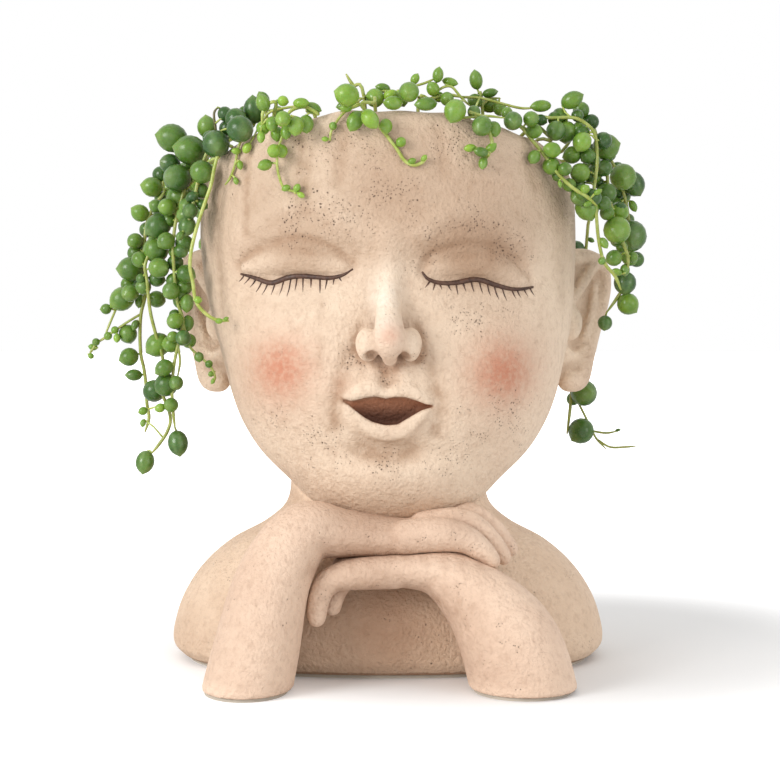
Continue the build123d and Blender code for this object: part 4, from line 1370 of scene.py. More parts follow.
# The strands that the photograph shows: the angle round the rim where each spills over, the depth
# at which it hangs, its stems and its leaves. Stems and leaves are in the photograph's pixels, a
# leaf as its middle and radius, and where it isn't round its stretch and the way its tip points.
strands_px = {
    "strand_01": (-50, -42, (
        ((222, 146), (215, 165), (211, 185), (203, 208), (196, 230), (191, 252), (190, 268), (193, 283),
         (195, 298), (201, 309), (214, 319), (229, 321)),
        ((252, 128), (240, 143), (235, 165), (230, 178), (225, 185)),
        ((300, 106), (285, 108), (270, 112), (262, 122), (254, 136)),
    ), (
        (198, 300, 4), (219, 321, 3.5, 1.3, 0), (226, 319, 2.6, 1.3, 30), (236, 151, 4, 1.3, 180),
        (247, 148, 5, 1.3, 60), (240, 165, 4, 1.4, -80), (236, 181, 3.2, 1.4, -70),
    )),
    "strand_02": (-58, -38, (
        ((216, 133), (208, 150), (200, 172), (195, 195), (190, 215), (187, 226)),
        ((216, 131), (214, 114), (218, 107)),
    ), (
        (240, 129, 13.5), (236, 119, 11), (254, 110, 12, 1.25, 95), (216, 144, 14), (225, 114, 7.5),
        (227, 128, 8), (202, 172, 12), (192, 197, 6, 1.3, 30), (190, 211, 8), (187, 226, 9.5, 1.1, -100),
        (180, 236, 4.5, 1.3, -120),
    )),
    "strand_03": (-67, -27, (
        ((198, 158), (188, 178), (180, 205), (176, 220), (173, 245), (174, 270), (177, 300), (183, 322),
         (178, 345), (174, 365), (172, 390), (173, 410), (175, 428)),
        ((183, 322), (189, 345), (197, 354), (206, 362), (212, 369), (215, 378), (211, 384)),
        ((178, 345), (180, 362), (177, 380)),
    ), (
        (190, 150, 15.5, 1.06, 170), (177, 178, 14), (178, 197, 12), (167, 207, 9), (166, 241, 9),
        (181, 251, 7.5), (186, 274, 9.5), (171, 291, 9), (184, 287, 8.5), (187, 303, 8, 1.3, -90),
        (175, 321, 8.5), (188, 323, 7, 1.3, -90), (183, 338, 8), (189, 341, 7.5), (173, 337, 6),
        (171, 344, 9), (199, 357, 5), (209, 364, 4), (211, 374, 3), (213, 381, 2.6, 1.4, -110),
        (164, 368, 9, 1.12, 215), (176, 383, 7.5), (166, 385, 12), (171, 405, 7.5), (160, 408, 5, 1.1, 200),
        (178, 443, 11.5, 1.22, -80),
    )),
    "strand_04": (-76, -23, (
        ((205, 160), (195, 178), (185, 190), (178, 208), (168, 222), (158, 238), (150, 252), (145, 266),
         (147, 280), (150, 310), (156, 335), (163, 360), (160, 385), (170, 415), (168, 430), (160, 443),
         (152, 453)),
    ), (
        (172, 138, 15, 1.06, 170), (207, 127, 10.5, 1.1, 95), (170, 164, 10.5), (156, 206, 7),
        (158, 226, 13, 1.1, 215), (156, 250, 13), (159, 268, 10.5), (157, 279, 8),
        (158, 345, 12.5, 1.06, 215), (154, 391, 11.5), (143, 411, 4.5, 1.1, 200),
        (143, 423, 3.5, 1.3, -100), (145, 462, 10.5, 1.2, -100),
    )),
    "strand_05": (-86, -8, (
        ((166, 180), (164, 192), (157, 202), (150, 214), (146, 228), (144, 250), (144, 275), (145, 296),
         (141, 314), (140, 335), (141, 355), (144, 369), (146, 385), (147, 404), (149, 418), (145, 432)),
        ((141, 314), (126, 323), (106, 337), (97, 343), (92, 350), (89, 355)),
        ((116, 309), (110, 323), (104, 338)),
    ), (
        (152, 187, 10.5, 1.06, 170), (140, 213, 9, 1.06, 150), (135, 241, 8), (135, 253, 8),
        (131, 269, 13, 1.06, 180), (128, 284, 7.5), (130, 293, 9), (122, 299, 12.5, 1.08, 215),
        (106, 309, 5.5), (140, 301, 6, 1.3, -100), (135, 325, 4.5, 1.4, -110), (128, 334, 9.5),
        (115, 330, 4), (117, 338, 4, 1.2, -90), (108, 336, 4.2), (96, 342, 4), (93, 347, 4, 1.3, 170),
        (91, 356, 3), (129, 357, 9.5, 1.04, 200), (134, 375, 7, 1.38, 180),
    )),
    "strand_08": (-34, -58, (
        ((276, 103), (268, 104), (263, 112), (262, 125)),
        ((292, 115), (285, 130), (279, 146), (277, 162), (279, 176), (284, 188), (293, 191), (303, 195)),
    ), (
        (283, 101, 5.5), (272, 124, 7, 1.2, -90), (263, 128, 7), (261, 137, 5, 1.4, -90),
        (277, 134, 7, 1.1, -90), (286, 132, 6.5, 1.3, -90), (274, 151, 7), (281, 151, 7),
        (265, 165, 6.5, 1.25, 200), (286, 188, 4, 1.3, 20), (297, 188, 4, 1.2, 60),
        (301, 195, 3.5, 1.3, -30), (263, 103, 8, 1.2, 110),
    )),
    "strand_09": (-22, -60, (
        ((318, 114), (305, 107), (292, 110), (286, 118)),
        ((360, 103), (346, 111), (337, 121), (331, 132), (330, 141)),
    ), (
        (283, 119, 8), (296, 126, 9, 1.15, -95), (306, 124, 8.5, 1.15, -85), (301, 103, 6.5, 1.5, 0),
        (313, 108, 7, 1.5, -20), (333, 126, 4.2), (325, 139, 3, 1.3, 180),
    )),
    "strand_10": (-3, -60, (
        ((361, 104), (374, 120), (387, 136), (397, 149), (404, 160), (413, 165), (421, 163), (427, 158)),
        ((362, 104), (352, 108), (340, 112)),
    ), (
        (355, 121, 9.5, 1.3, -115), (370, 119, 9.5, 1.3, -55), (386, 126, 7, 1.12, -80), (401, 142, 5.2),
        (412, 161, 3.6, 1.3, 20), (424, 158, 3.2, 1.4, 50), (346, 108, 5, 1.4, 180),
    )),
    "strand_11": (25, -58, (
        ((470, 112), (482, 117), (489, 132), (492, 145), (486, 160)),
        ((461, 118), (485, 116), (505, 118)),
    ), (
        (482, 126, 10.5), (494, 129, 7.5, 1.1, -80), (470, 148, 5, 1.5, 190), (481, 152, 6, 1.4, 170),
        (491, 148, 5.5, 1.4, 40), (483, 163, 5.5, 1.3, -100),
    )),
    "strand_12": (48, -46, (
        ((505, 118), (520, 126), (532, 140), (545, 156), (556, 171), (566, 182), (576, 190), (586, 196),
         (597, 206)),
    ), (
        (513, 121, 9.5), (507, 113, 6), (531, 119, 8), (534, 131, 8), (534, 157, 6.8, 1.1, -120),
        (552, 150, 8.5, 1.1, 170), (551, 166, 9), (565, 169, 7), (585, 189, 4.8), (598, 192, 3.6, 1.5, 30),
        (588, 204, 3.6, 1.5, 200), (560, 184, 3, 1.6, -80),
    )),
    "strand_13": (60, -37, (
        ((530, 117), (552, 118), (575, 118), (591, 128), (596, 140), (597, 165), (594, 190), (596, 210),
         (598, 235), (601, 252), (605, 264), (615, 276), (621, 290)),
        ((460, 97), (480, 98), (500, 103), (520, 108), (535, 108)),
    ), (
        (541, 106, 8, 1.7, 185), (572, 100, 10, 1.3, 25), (556, 131, 10), (566, 132, 11),
        (582, 142, 9.8, 1.06, -120), (588, 156, 8), (572, 155, 9), (580, 173, 10), (580, 196, 10),
        (587, 208, 12.5, 1.05, -70), (602, 261, 4), (604, 243, 5, 1.4, -60), (577, 185, 8),
    )),
    "strand_14": (71, -25, (
        ((586, 118), (598, 140), (606, 165), (608, 185), (611, 205), (616, 225), (624, 245), (628, 258),
         (628, 270)),
    ), (
        (581, 110, 8.5), (591, 122, 8), (606, 147, 13.5), (604, 168, 8.5), (606, 193, 10.5),
        (607, 213, 7.5), (619, 212, 10), (617, 230, 14), (614, 258, 8.3), (617, 272, 4.5, 1.4, 160),
        (625, 270, 5.5, 1.2, -90), (594, 178, 7),
    )),
    "strand_15": (83, -9, (
        ((600, 150), (615, 168), (623, 190), (628, 215), (630, 240), (628, 262), (624, 285), (617, 298),
         (607, 312)),
    ), (
        (623, 177, 13.5), (633, 184, 12.5, 1.08, -60), (622, 196, 9), (633, 206, 5, 1.5, -65),
        (631, 236, 16), (630, 258, 8.5, 1.08, -30), (625, 283, 11.5), (628, 304, 11), (605, 323, 7.5),
    )),
    "strand_16": (112, 35, (
        ((590, 200), (588, 225), (586, 250), (582, 300), (576, 350), (572, 385), (570, 410), (567, 434)),
        ((574, 395), (581, 408), (588, 422), (596, 438), (606, 449)),
        ((598, 440), (610, 447), (625, 447), (636, 446)),
        ((592, 431), (606, 433), (618, 431)),
    ), (
        (576, 249, 8.5), (584, 393, 13.3), (573, 399, 6.8), (581, 431, 13), (591, 240, 3, 1.4, -30),
        (618, 430, 2, 1.6, 10),
    )),
    "shoot_1": (-8, -44, (
        ((364, 97), (353, 85), (346, 74)),
        ((364, 97), (374, 92), (386, 91)),
    ), (
        (347, 95, 11.5, 1.05, 165), (375, 98, 9.5), (344, 106, 6, 1.5, 190), (383, 88, 6, 1.5, 170),
        (390, 95, 6, 1.4, 30),
    )),
    "shoot_2": (18, -44, (
        ((418, 106), (430, 99), (447, 95), (462, 97)),
        ((388, 108), (388, 99), (398, 93), (412, 87), (425, 83), (436, 78)),
        ((436, 92), (444, 87), (452, 87), (460, 96), (470, 106)),
    ), (
        (393, 103, 8, 1.3, 180), (401, 98, 8.5), (409, 92, 10), (415, 79, 5, 1.3, 60),
        (433, 89, 7, 1.1, 120), (438, 75, 6.5, 1.35, 80), (450, 82, 6, 1.7, -15), (426, 104, 8.5, 1.6, 185),
        (439, 97, 5.5), (447, 99, 7), (455, 111, 11.3, 1.06, -110),
    )),
    "shoot_3": (-70, -20, (
        ((266, 112), (263, 101)),
    ), (
        (263, 99, 7, 1.2, 120), (278, 112, 6), (248, 122, 8), (244, 112, 6),
    )),
    "shoot_4": (66, -30, (
        ((482, 104), (478, 93)),
        ((482, 105), (490, 99), (500, 98)),
    ), (
        (476, 80, 8, 1.4, 100), (490, 93, 6, 1.6, 10), (475, 101, 7.5), (490, 105, 9, 1.3, 0),
        (474, 112, 6.5), (500, 109, 7),
    )),
}

# The strands behind the head: angle, flare, rise, hang and twist as shares, and the leaves' size.
hidden_strand_shares = {
    "strand_06": (-99, 0.40, 0.50, 0.14, 0.00, 1.00),
    "strand_07": (-118, 0.20, 0.10, 0.46, -0.03, 0.90),
    "strand_17": (144, 0.10, 0.20, 0.40, 0.03, 0.90),
    "strand_18": (-148, 0.10, 0.40, 0.36, -0.03, 0.90),
}
strand_clearance = 1.2
strand_flare = 20
strand_rise = 10
strand_hang = 95

# A leaf from its stalk to its tip: place along it and radius, as shares of its radius.
leaf_profile_shares = (
    (-1.00, 0.0), (-0.97, 0.24), (-0.86, 0.52), (-0.62, 0.80), (-0.28, 0.97), (0.08, 1.00), (0.42, 0.90),
    (0.68, 0.71), (0.86, 0.48), (0.98, 0.25), (1.07, 0.10), (1.13, 0.0),
)


def signed_power(value, power):
    """A value raised to a power, with its sign kept."""
    return math.copysign(abs(value) ** power, value)


def beside(angle, out):
    """The place in plan at an angle round the head, a distance outside its widest outline."""
    turn = math.radians(angle)
    middle = (head_back_depth - head_front_depth) / 2
    half_depth = (head_back_depth + head_front_depth) / 2 + face_relief + out
    x = (head_half_width + out) * signed_power(math.sin(turn), 2 / head_power)
    return x, middle - half_depth * signed_power(math.cos(turn), 2 / head_power)


def root_place(angle, radius):
    """Where a stem leaves the mix, at an angle round the pot."""
    turn = math.radians(angle)
    height = grow_pot_top_height - mix_drop - root_depth
    return (radius * math.sin(turn), -radius * math.cos(turn), height)


def deepest_free(u, v, depth, radius):
    """The depth nearest to a wanted one at which a ball on a line of sight is clear of the head."""
    wanted = head_clay.value(np.array([place_in_view(u, v, depth)]))[0]
    if depth > behind_depth and wanted > radius + skin_gap:
        return float(depth)
    depths = np.arange(nearest_depth, depth + sight_step / 2, sight_step)
    spots = np.array([place_in_view(u, v, each) for each in depths])
    blocked = np.nonzero(head_clay.value(spots) < radius + skin_gap)[0]
    return float(depths[max(blocked[0] - 1, 0)]) if len(blocked) else float(depth)


def leaf_spots():
    """Every leaf that the photograph shows: its strand, pixel, radius, stretch, turn and free depths."""
    spots = []
    for name, (angle, depth, stems, leaves) in strands_px.items():
        for u, v, size, *form in leaves:
            stretch, turn = form if form else (1.0, None)
            radius = size / focal_px * (camera_distance + depth)
            back = deepest_free(u, v, depth + leaf_depth_room, radius)
            spots.append([name, u, v, radius, stretch, turn, min(depth, back), back])
    return spots


def spread_leaves(spots):
    """Slides leaves that overlap apart along their lines of sight, clear of the head."""
    starts = np.array([place_in_view(s[1], s[2], 0) for s in spots])
    ways = np.array([place_in_view(s[1], s[2], 1) for s in spots]) - starts
    radii = np.array([s[3] * (1 + (s[4] - 1) / 2) for s in spots])
    depths = np.array([s[6] for s in spots], float)
    backs = np.array([s[7] for s in spots], float)
    wanted = (radii[:, None] + radii[None, :]) * leaf_overlap_share
    for _ in range(spread_rounds):
        centers = starts + ways * depths[:, None]
        apart = np.linalg.norm(centers[:, None] - centers[None, :], axis=2)
        first, second = np.nonzero(np.triu(apart < wanted, 1))
        if not len(first):
            break
        for a, b in zip(first, second):
            front, rear = (a, b) if depths[a] <= depths[b] else (b, a)
            push = min(spread_step, (wanted[a, b] - apart[a, b]) / 2 + spread_least)
            room = max(0.0, backs[rear] - depths[rear])
            depths[rear] += min(push, room)
            depths[front] -= push + max(0.0, push - room)
            depths[front] = max(depths[front], nearest_leaf_depth + radii[front])
    return starts + ways * depths[:, None]


# A leaf's sides, and the clearer line along its top: its place and width round the leaf, and how much
# of it is left past a share of the length.
leaf_sides = 16
window_turn = 0.25
window_width = 0.16
window_end_share = 0.8
window_end_left = 0.3
steep_share = 0.8


def leaf_form(center, tip_way, radius, stretch):
    """Points, faces and material values of one pointed leaf about a centre."""
    tip_way = tip_way / np.linalg.norm(tip_way)
    up = np.array((0, 0, 1.0)) if abs(tip_way[2]) < steep_share else np.array((0, -1.0, 0))
    up = up - tip_way * (up @ tip_way)
    up = up / np.linalg.norm(up)
    side = np.cross(tip_way, up)
    turns = np.linspace(0, 2 * math.pi, leaf_sides, endpoint=False)
    ring_way = np.cos(turns)[:, None] * up + np.sin(turns)[:, None] * side
    stripe = np.exp(-((np.minimum(turns, 2 * math.pi - turns) - window_turn) / window_width) ** 2)
    slim = 1 / math.sqrt(stretch)
    points, windows, alongs = [], [], []
    for along, wide in leaf_profile_shares:
        count = 1 if wide == 0 else leaf_sides
        ring = center + tip_way * along * radius * stretch * slim
        spots = ring + (ring_way * wide * radius * slim if count > 1 else 0)
        points.extend(np.atleast_2d(spots))
        shown = window_end_left if abs(along) > window_end_share else 1
        windows.extend(stripe * shown if count > 1 else np.zeros(1))
        alongs.extend([along] * count)
    last = len(leaf_profile_shares) - 2
    top = 1 + (last - 1) * leaf_sides
    end = 1 + last * leaf_sides
    faces = []
    for row in range(1, last):
        low, high = 1 + (row - 1) * leaf_sides, 1 + row * leaf_sides
        for k in range(leaf_sides):
            after = (k + 1) % leaf_sides
            faces.append((low + k, low + after, high + after, high + k))
    for k in range(leaf_sides):
        after = (k + 1) % leaf_sides
        faces.append((0, 1 + after, 1 + k))
        faces.append((top + k, top + after, end))
    return points, faces, windows, alongs


class Foliage:
    """The stems and leaves of one strand, gathered into one mesh."""

    def __init__(self):
        self.points, self.faces = [], []
        self.values = {"window": [], "along": [], "shade": [], "stem": []}

    def add(self, points, faces, *values):
        """Adds a form and the values that its material reads, each for every point or one for all."""
        base = len(self.points)
        self.points.extend(points)
        self.faces.extend(tuple(base + i for i in face) for face in faces)
        for stored, value in zip(self.values.values(), values):
            stored.extend(np.broadcast_to(value, len(points)))

    def add_leaf(self, center, tip_way, radius, stretch, shade):
        """A pointed leaf about a centre."""
        self.add(*leaf_form(center, tip_way, radius, stretch), shade, 0)

    def add_stem(self, path, shade):
        """A round stem along points of x, y, z and radius."""
        self.add(*round_tube(path, stem_sides), 0, 0, shade, 1)

    def add_stalk(self, *spots):
        """A leaf's stalk through points of x, y, z and radius."""
        self.add(*round_tube(spots, stalk_sides), 0, 0, 1, 1)

    def show(self, name):
        """Makes the strand's visible piece."""
        mesh = smooth_mesh(f"{name}_foliage", self.points, self.faces)
        for label, values in self.values.items():
            paint(mesh, label, values)
        add_piece(mesh.name, mesh, leaf_paint, "planting", [name])


# The leaves' greens, old and young, each between two tones; the paler tip, clearer line and bloom; and
# the stems' tones, with the brown of a dry one.
leaf_mottle = (160, 4, 0.3, 0.7)
old_leaf = ((0.022, 0.072, 0.012), (0.045, 0.120, 0.018))
young_leaf = ((0.170, 0.330, 0.022), (0.300, 0.480, 0.045))
leaf_tip = (0.30, 0.42, 0.12)
leaf_tip_fade = (0.55, 1.1, 0.0, 0.30)
leaf_window = (0.30, 0.46, 0.16)
leaf_window_strength = 0.40
leaf_bloom = (0.55, 0.62, 0.45)
leaf_bloom_cloud = (420, 3, 0.45, 0.8, 0.0, 0.10)
stem_cloud = (300, 3, 0.35, 0.65)
stem_tones = ((0.34, 0.42, 0.07), (0.50, 0.58, 0.16))
dry_stem = (0.055, 0.030, 0.016)
leaf_noise = (700, 3)
leaf_bump = (0.15, 0.0003)
leaf_rough = (240, 3, 0.3, 0.7, 0.20, 0.34)
leaf_gloss = {"Specular_IOR_Level": 0.45, "Subsurface_Weight": 0.12, "Subsurface_Scale": 0.002}


def leaf_material():
    """Glossy green leaves, dark to bright, with a clearer line along the top, and paler stems."""
    paint = Paint("succulent_leaf")
    shade = paint.attribute("shade")
    mottle = paint.cloud(*leaf_mottle)
    leaf = paint.mix(shade, paint.mix(mottle, *old_leaf), paint.mix(mottle, *young_leaf))
    leaf = paint.mix(paint.ramp(paint.attribute("along"), *leaf_tip_fade), leaf, leaf_tip)
    window = paint.math("MULTIPLY", paint.attribute("window"), leaf_window_strength)
    leaf = paint.mix(window, leaf, leaf_window)
    leaf = paint.mix(paint.cloud(*leaf_bloom_cloud), leaf, leaf_bloom)
    stem = paint.mix(shade, dry_stem, paint.mix(paint.cloud(*stem_cloud), *stem_tones))
    color = paint.mix(paint.attribute("stem"), leaf, stem)
    normal = paint.bump(paint.noise(*leaf_noise), *leaf_bump)
    return paint.finish(color, normal, paint.cloud(*leaf_rough), **leaf_gloss)


# The mix's crumbs and pale grit, and the waves of its top: heights and how fast they turn.
crumb_cells = 520
crumb_fade = (0.0, 0.6)
crumb_tones = ((0.018, 0.010, 0.006), (0.085, 0.048, 0.026))
grit_cloud = (900, 2, 0.68, 0.74)
grit_strength = 0.8
grit_pale = (0.42, 0.36, 0.28)
mix_cells = 420
mix_bump = (0.9, 0.0016)
mix_rough = (300, 2, 0.3, 0.7, 0.8, 0.95)
mix_sides = 90
mix_rings = 30
mix_edge_rings = 3
mix_sink = 1.0
mix_middle_sink = 0.6
crumb_heights = (0.7, 0.5)
crumb_turns = (1.3, 0.7, 1.1, 0.4, 3.1, 2.3)


def mix_material():
    """Dark potting mix with bark crumbs and pale grit."""
    paint = Paint("potting_mix")
    soil = paint.mix(paint.ramp(paint.cells(crumb_cells), *crumb_fade), *crumb_tones)
    soil = paint.mix(paint.math("MULTIPLY", paint.cloud(*grit_cloud), grit_strength), soil, grit_pale)
    return paint.finish(soil, paint.bump(paint.cells(mix_cells), *mix_bump), paint.cloud(*mix_rough))


def crumbs(x, y):
    """The height of the crumbs on the mix's top."""
    a, b, c, d, e, f = crumb_turns
    broad = np.sin(x * a + 2 * np.sin(y * b)) * np.cos(y * c + x * d)
    return np.abs(crumb_heights[0] * broad + crumb_heights[1] * np.sin(x * e + y * f))


def model_mix():
    """The mix in its pot: a tapered plug with a crumbly top."""
    base = well_floor_height + 2 * seat_gap + grow_pot_wall
    top = grow_pot_top_height - mix_drop
    taper = grow_pot_top_radius - grow_pot_base_radius
    slope = taper / (grow_pot_top_height - well_floor_height - seat_gap)
    low_radius = grow_pot_base_radius - grow_pot_wall - seat_gap
    high_radius = low_radius + slope * (top - base)
    turns = np.linspace(0, 2 * math.pi, mix_sides, endpoint=False)
    points, faces = [], []
    for ring in range(1, mix_rings + 1):
        radius = high_radius * ring / mix_rings
        x, y = radius * np.cos(turns), radius * np.sin(turns)
        edge = min(1.0, (mix_rings - ring) / mix_edge_rings)
        points.extend(np.stack([x, y, top - mix_sink + crumbs(x, y) * edge], 1))
    bottom = len(points)
    floor = np.full(mix_sides, base)
    points.extend(np.stack([low_radius * np.cos(turns), low_radius * np.sin(turns), floor], 1))
    points.append((0, 0, top - mix_middle_sink))
    middle = len(points) - 1
    rim = (mix_rings - 1) * mix_sides
    for k in range(mix_sides):
        after = (k + 1) % mix_sides
        faces.append((middle, k, after))
        for ring in range(mix_rings - 1):
            a, b = ring * mix_sides + k, ring * mix_sides + after
            faces.append((a, a + mix_sides, b + mix_sides, b))
        faces.append((rim + k, bottom + k, bottom + after, rim + after))
    faces.append(tuple(bottom + k for k in reversed(range(mix_sides))))
    return smooth_mesh("potting_mix_soil", points, faces)


def rim_start(angle, near):
    """The first points of a strand: out of the mix, up inside the rim and over it."""
    inner = beside(angle, -head_wall - near)
    over = beside(angle, -head_wall / 2)
    crest = float(arch_height(np.array(over[0]))) + near
    root = root_place(angle, root_ring_radius)
    return [root, (root[0], root[1], root[2] + root_rise), (*inner, crest), (*over, crest + near / 4)]


# How bright the leaves of each strand are, from 0 for old and dark to 1 for young.
strand_brightness = {
    "strand_01": 0.65, "strand_02": 0.10, "strand_03": 0.26, "strand_04": 0.26, "strand_05": 0.32,
    "strand_08": 0.72, "strand_09": 0.72, "strand_10": 0.68, "strand_11": 0.50, "strand_12": 0.45,
    "strand_13": 0.38, "strand_14": 0.24, "strand_15": 0.22, "strand_16": 0.18, "shoot_1": 0.45,
    "shoot_2": 0.50, "shoot_3": 0.34, "shoot_4": 0.42,
}

# The strands whose upper parts hang in a thick mass: how far down it reaches, in the photograph's
# pixels, and how many more leaves stand behind the ones that show.
thick_strands = {
    "strand_02": (225, 8), "strand_03": (330, 16), "strand_04": (300, 14), "strand_05": (300, 10),
    "strand_12": (200, 9), "strand_13": (210, 12), "strand_14": (260, 12), "strand_15": (260, 8),
}

# More leaves behind a thick strand: from which point of its stem they grow, their least and greatest
# radius, the mean and the scatter of the way that they point, how far off the stem they sit, how
# stretched they are, the share of their radius at which the stalk meets them, and their brightness,
# kept low as painted shade in the mass.
filler_first_point = 16
filler_radii = (1.8, 3.3)
filler_ways = ((0, 0.8), (0.9, 0.3), (-0.2, 0.5))
filler_stand_off = 1.6
plain_stretch = 1.06
plain_foot_share = 0.95
filler_painted_shade = (0.0, 0.35)

# The leaves of the strands behind the head: the first point of the stem and every which one carries a
# leaf, their radius as shares of a pearl's, how they lean outwards, scatter and sag, and how far off
# the stem they sit. Then how a leaf that would touch the head is moved out, and the spread of brightness.
hidden_leaf_first = 14
hidden_leaf_pitch = 2
hidden_radius_shares = (0.45, 0.95)
hidden_lean = 0.5
hidden_scatter = 0.6
hidden_sag = (0, 0, -0.4)
hidden_stand_off = 0.8
hidden_rounds = 12
hidden_push = 0.6
hidden_shade_spread = (1.6, 2.6)
hang_steps = 6

leaf_paint = leaf_material()
chance = np.random.default_rng(7)


def shown_stems(name):
    """The stems of a strand that the photograph shows, as smooth paths of x, y, z and radius."""
    angle, depth, stems, _ = strands_px[name]
    start = rim_start(angle, front_lift if abs(angle) < front_angle else side_lift)
    if name.startswith("shoot"):
        start = [root_place(angle, root_ring_radius - shoot_ring_in)]
    paths = []
    for number, pixels in enumerate(stems):
        line = [place_in_view(u, v, deepest_free(u, v, depth, stem_radius)) for u, v in pixels]
        radius = shoot_radius if number else stem_radius
        path = smooth_path([(*point, radius) for point in (line if number else start + line)], stem_points)
        path[-len(stem_taper_shares):, 3] *= np.array(stem_taper_shares)
        paths.append(path)
    return paths


def leaf_way(center, stem_spot, turn):
    """The way a leaf's tip points: by its turn in the picture, or away from its stem and a little down."""
    if turn is None:
        way = center - stem_spot
        way = way / max(np.linalg.norm(way), shortest_stalk) + np.array(leaf_sag)
        way = way + chance.normal(0, leaf_scatter, 3)
    else:
        way = np.array((math.cos(math.radians(turn)), leaf_sag[1], math.sin(math.radians(turn))))
    return way / np.linalg.norm(way)


def add_shown_leaf(foliage, name, radius, stretch, turn, center, stem):
    """A leaf that the photograph shows, and its stalk."""
    stem_spot = stem[int(np.argmin(np.linalg.norm(stem - center, axis=1)))]
    way = leaf_way(center, stem_spot, turn)
    slim = 1 / math.sqrt(stretch)
    young = small_leaf_brightness if radius < small_leaf_radius else 0
    shade = float(np.clip(strand_brightness[name] + chance.normal(0, shade_scatter) + young, 0, 1))
    foliage.add_leaf(center, way, radius, stretch * leaf_length_share, shade)
    foot = center - way * radius * stretch * slim * stalk_foot_share
    middle = (foot + stem_spot) / 2 - way * stalk_bow
    waist = stalk_radius * stalk_waist_share
    foliage.add_stalk((*stem_spot, stalk_radius), (*middle, waist), (*foot, stalk_radius))


def add_plain_leaf(foliage, center, way, radius, shade, stem_spot):
    """A round leaf straight off its stem."""
    foliage.add_leaf(center, way, radius, plain_stretch, shade)
    foot = center - way * radius * plain_foot_share
    foliage.add_stalk((*stem_spot, stalk_radius), (*foot, stalk_radius))


def add_fillers(foliage, name, stem):
    """More leaves behind the ones that show, where a strand hangs in a thick mass, dark as painted shade."""
    lowest, many = thick_strands[name]
    lowest_height = place_in_view(centre_px[0], lowest, strands_px[name][1])[2]
    upper = stem[(stem[:, 2] > lowest_height) & (np.arange(len(stem)) > filler_first_point)]
    for number in range(many):
        stem_spot = upper[int((number + 0.5) * len(upper) / many)]
        radius = float(chance.uniform(*filler_radii))
        across, deep, up = (chance.normal(*way) for way in filler_ways)
        way = np.array((across, abs(deep), up))
        way = way / np.linalg.norm(way)
        center = stem_spot + way * (radius + filler_stand_off)
        if head_clay.value(center[None, :])[0] >= radius + skin_gap:
            add_plain_leaf(foliage, center, way, radius, float(chance.uniform(*filler_painted_shade)), stem_spot)


def add_strands():
    """The strands and shoots that the photograph shows."""
    spots = leaf_spots()
    centers = spread_leaves(spots)
    for name in strands_px:
        foliage = Foliage()
        paths = shown_stems(name)
        for number, path in enumerate(paths):
            dry = name == "strand_02" and number == 1
            foliage.add_stem(path, dry_stem_shade if dry else young_stem_share(name))
        stem = np.vstack(paths)[:, :3]
        for (owner, u, v, radius, stretch, turn, _, _), center in zip(spots, centers):
            if owner == name:
                add_shown_leaf(foliage, name, radius, stretch, turn, center, stem)
        if name in thick_strands:
            add_fillers(foliage, name, paths[0][:, :3])
        foliage.show(name)


def young_stem_share(name):
    """How fresh a strand's stem looks, from its leaves' brightness."""
    return stem_shade + (1 - stem_shade) * strand_brightness[name]


def add_hidden_strand(name, angle, flare, rise, hang, twist, size):
    """A strand behind the head, on a path that shares of the strands' sizes give."""
    near = pearl_radius * size + strand_clearance
    line = rim_start(angle, near)
    spill_height = float(arch_height(np.array(beside(angle, 0)[0]))) + rise * strand_rise / 2
    line.append((*beside(angle, near + flare * strand_flare / 2), spill_height))
    for step in range(1, hang_steps + 1):
        share = step / hang_steps
        out = near + flare * strand_flare * (1 + share) / 2
        line.append((*beside(angle + twist * 180 * share, out), spill_height - hang * strand_hang * share))
    path = smooth_path([(*point, stem_radius) for point in line], stem_points)
    foliage = Foliage()
    foliage.add_stem(path, 1)
    for point in path[hidden_leaf_first::hidden_leaf_pitch, :3]:
        radius = pearl_radius * float(chance.uniform(*hidden_radius_shares))
        outward = np.array((point[0], point[1], 0)) / max(math.hypot(point[0], point[1]), 1)
        way = outward * hidden_lean + chance.normal(0, hidden_scatter, 3) + np.array(hidden_sag)
        way = way / np.linalg.norm(way)
        center = point + way * (radius + hidden_stand_off)
        for _ in range(hidden_rounds):
            if head_clay.value(center[None, :])[0] > radius + skin_gap:
                break
            center = center + outward * hidden_push
        add_plain_leaf(foliage, center, way, radius, float(chance.beta(*hidden_shade_spread)), point)
    foliage.show(name)


add_strands()
for name, shares in hidden_strand_shares.items():
    add_hidden_strand(name, *shares)
add_piece("potting_mix_soil", model_mix(), mix_material(), "planting", ["potting_mix"])

# The pot, the plug and the pads: the levels of their grain and of their dust, its tone, and the bump.
plastic_step = (0.3, 0.7)
dust_levels = (0.55, 0.8, 0.0, 0.06)
dust_tone = (0.32, 0.27, 0.22)
plastic_bump = (0.25, 0.0004)


def plastic_material(name, tones, roughness, scale):
    """Moulded plastic or rubber with a faint grain and dust."""
    paint = Paint(name)
    color = paint.mix(paint.cloud(scale, 4, *plastic_step), *tones)
    color = paint.mix(paint.cloud(scale * 4, 3, *dust_levels), color, dust_tone)
    normal = paint.bump(paint.noise(scale * 8, 3), *plastic_bump)
    return paint.finish(color, normal, paint.cloud(scale * 2, 3, *plastic_step, *roughness))


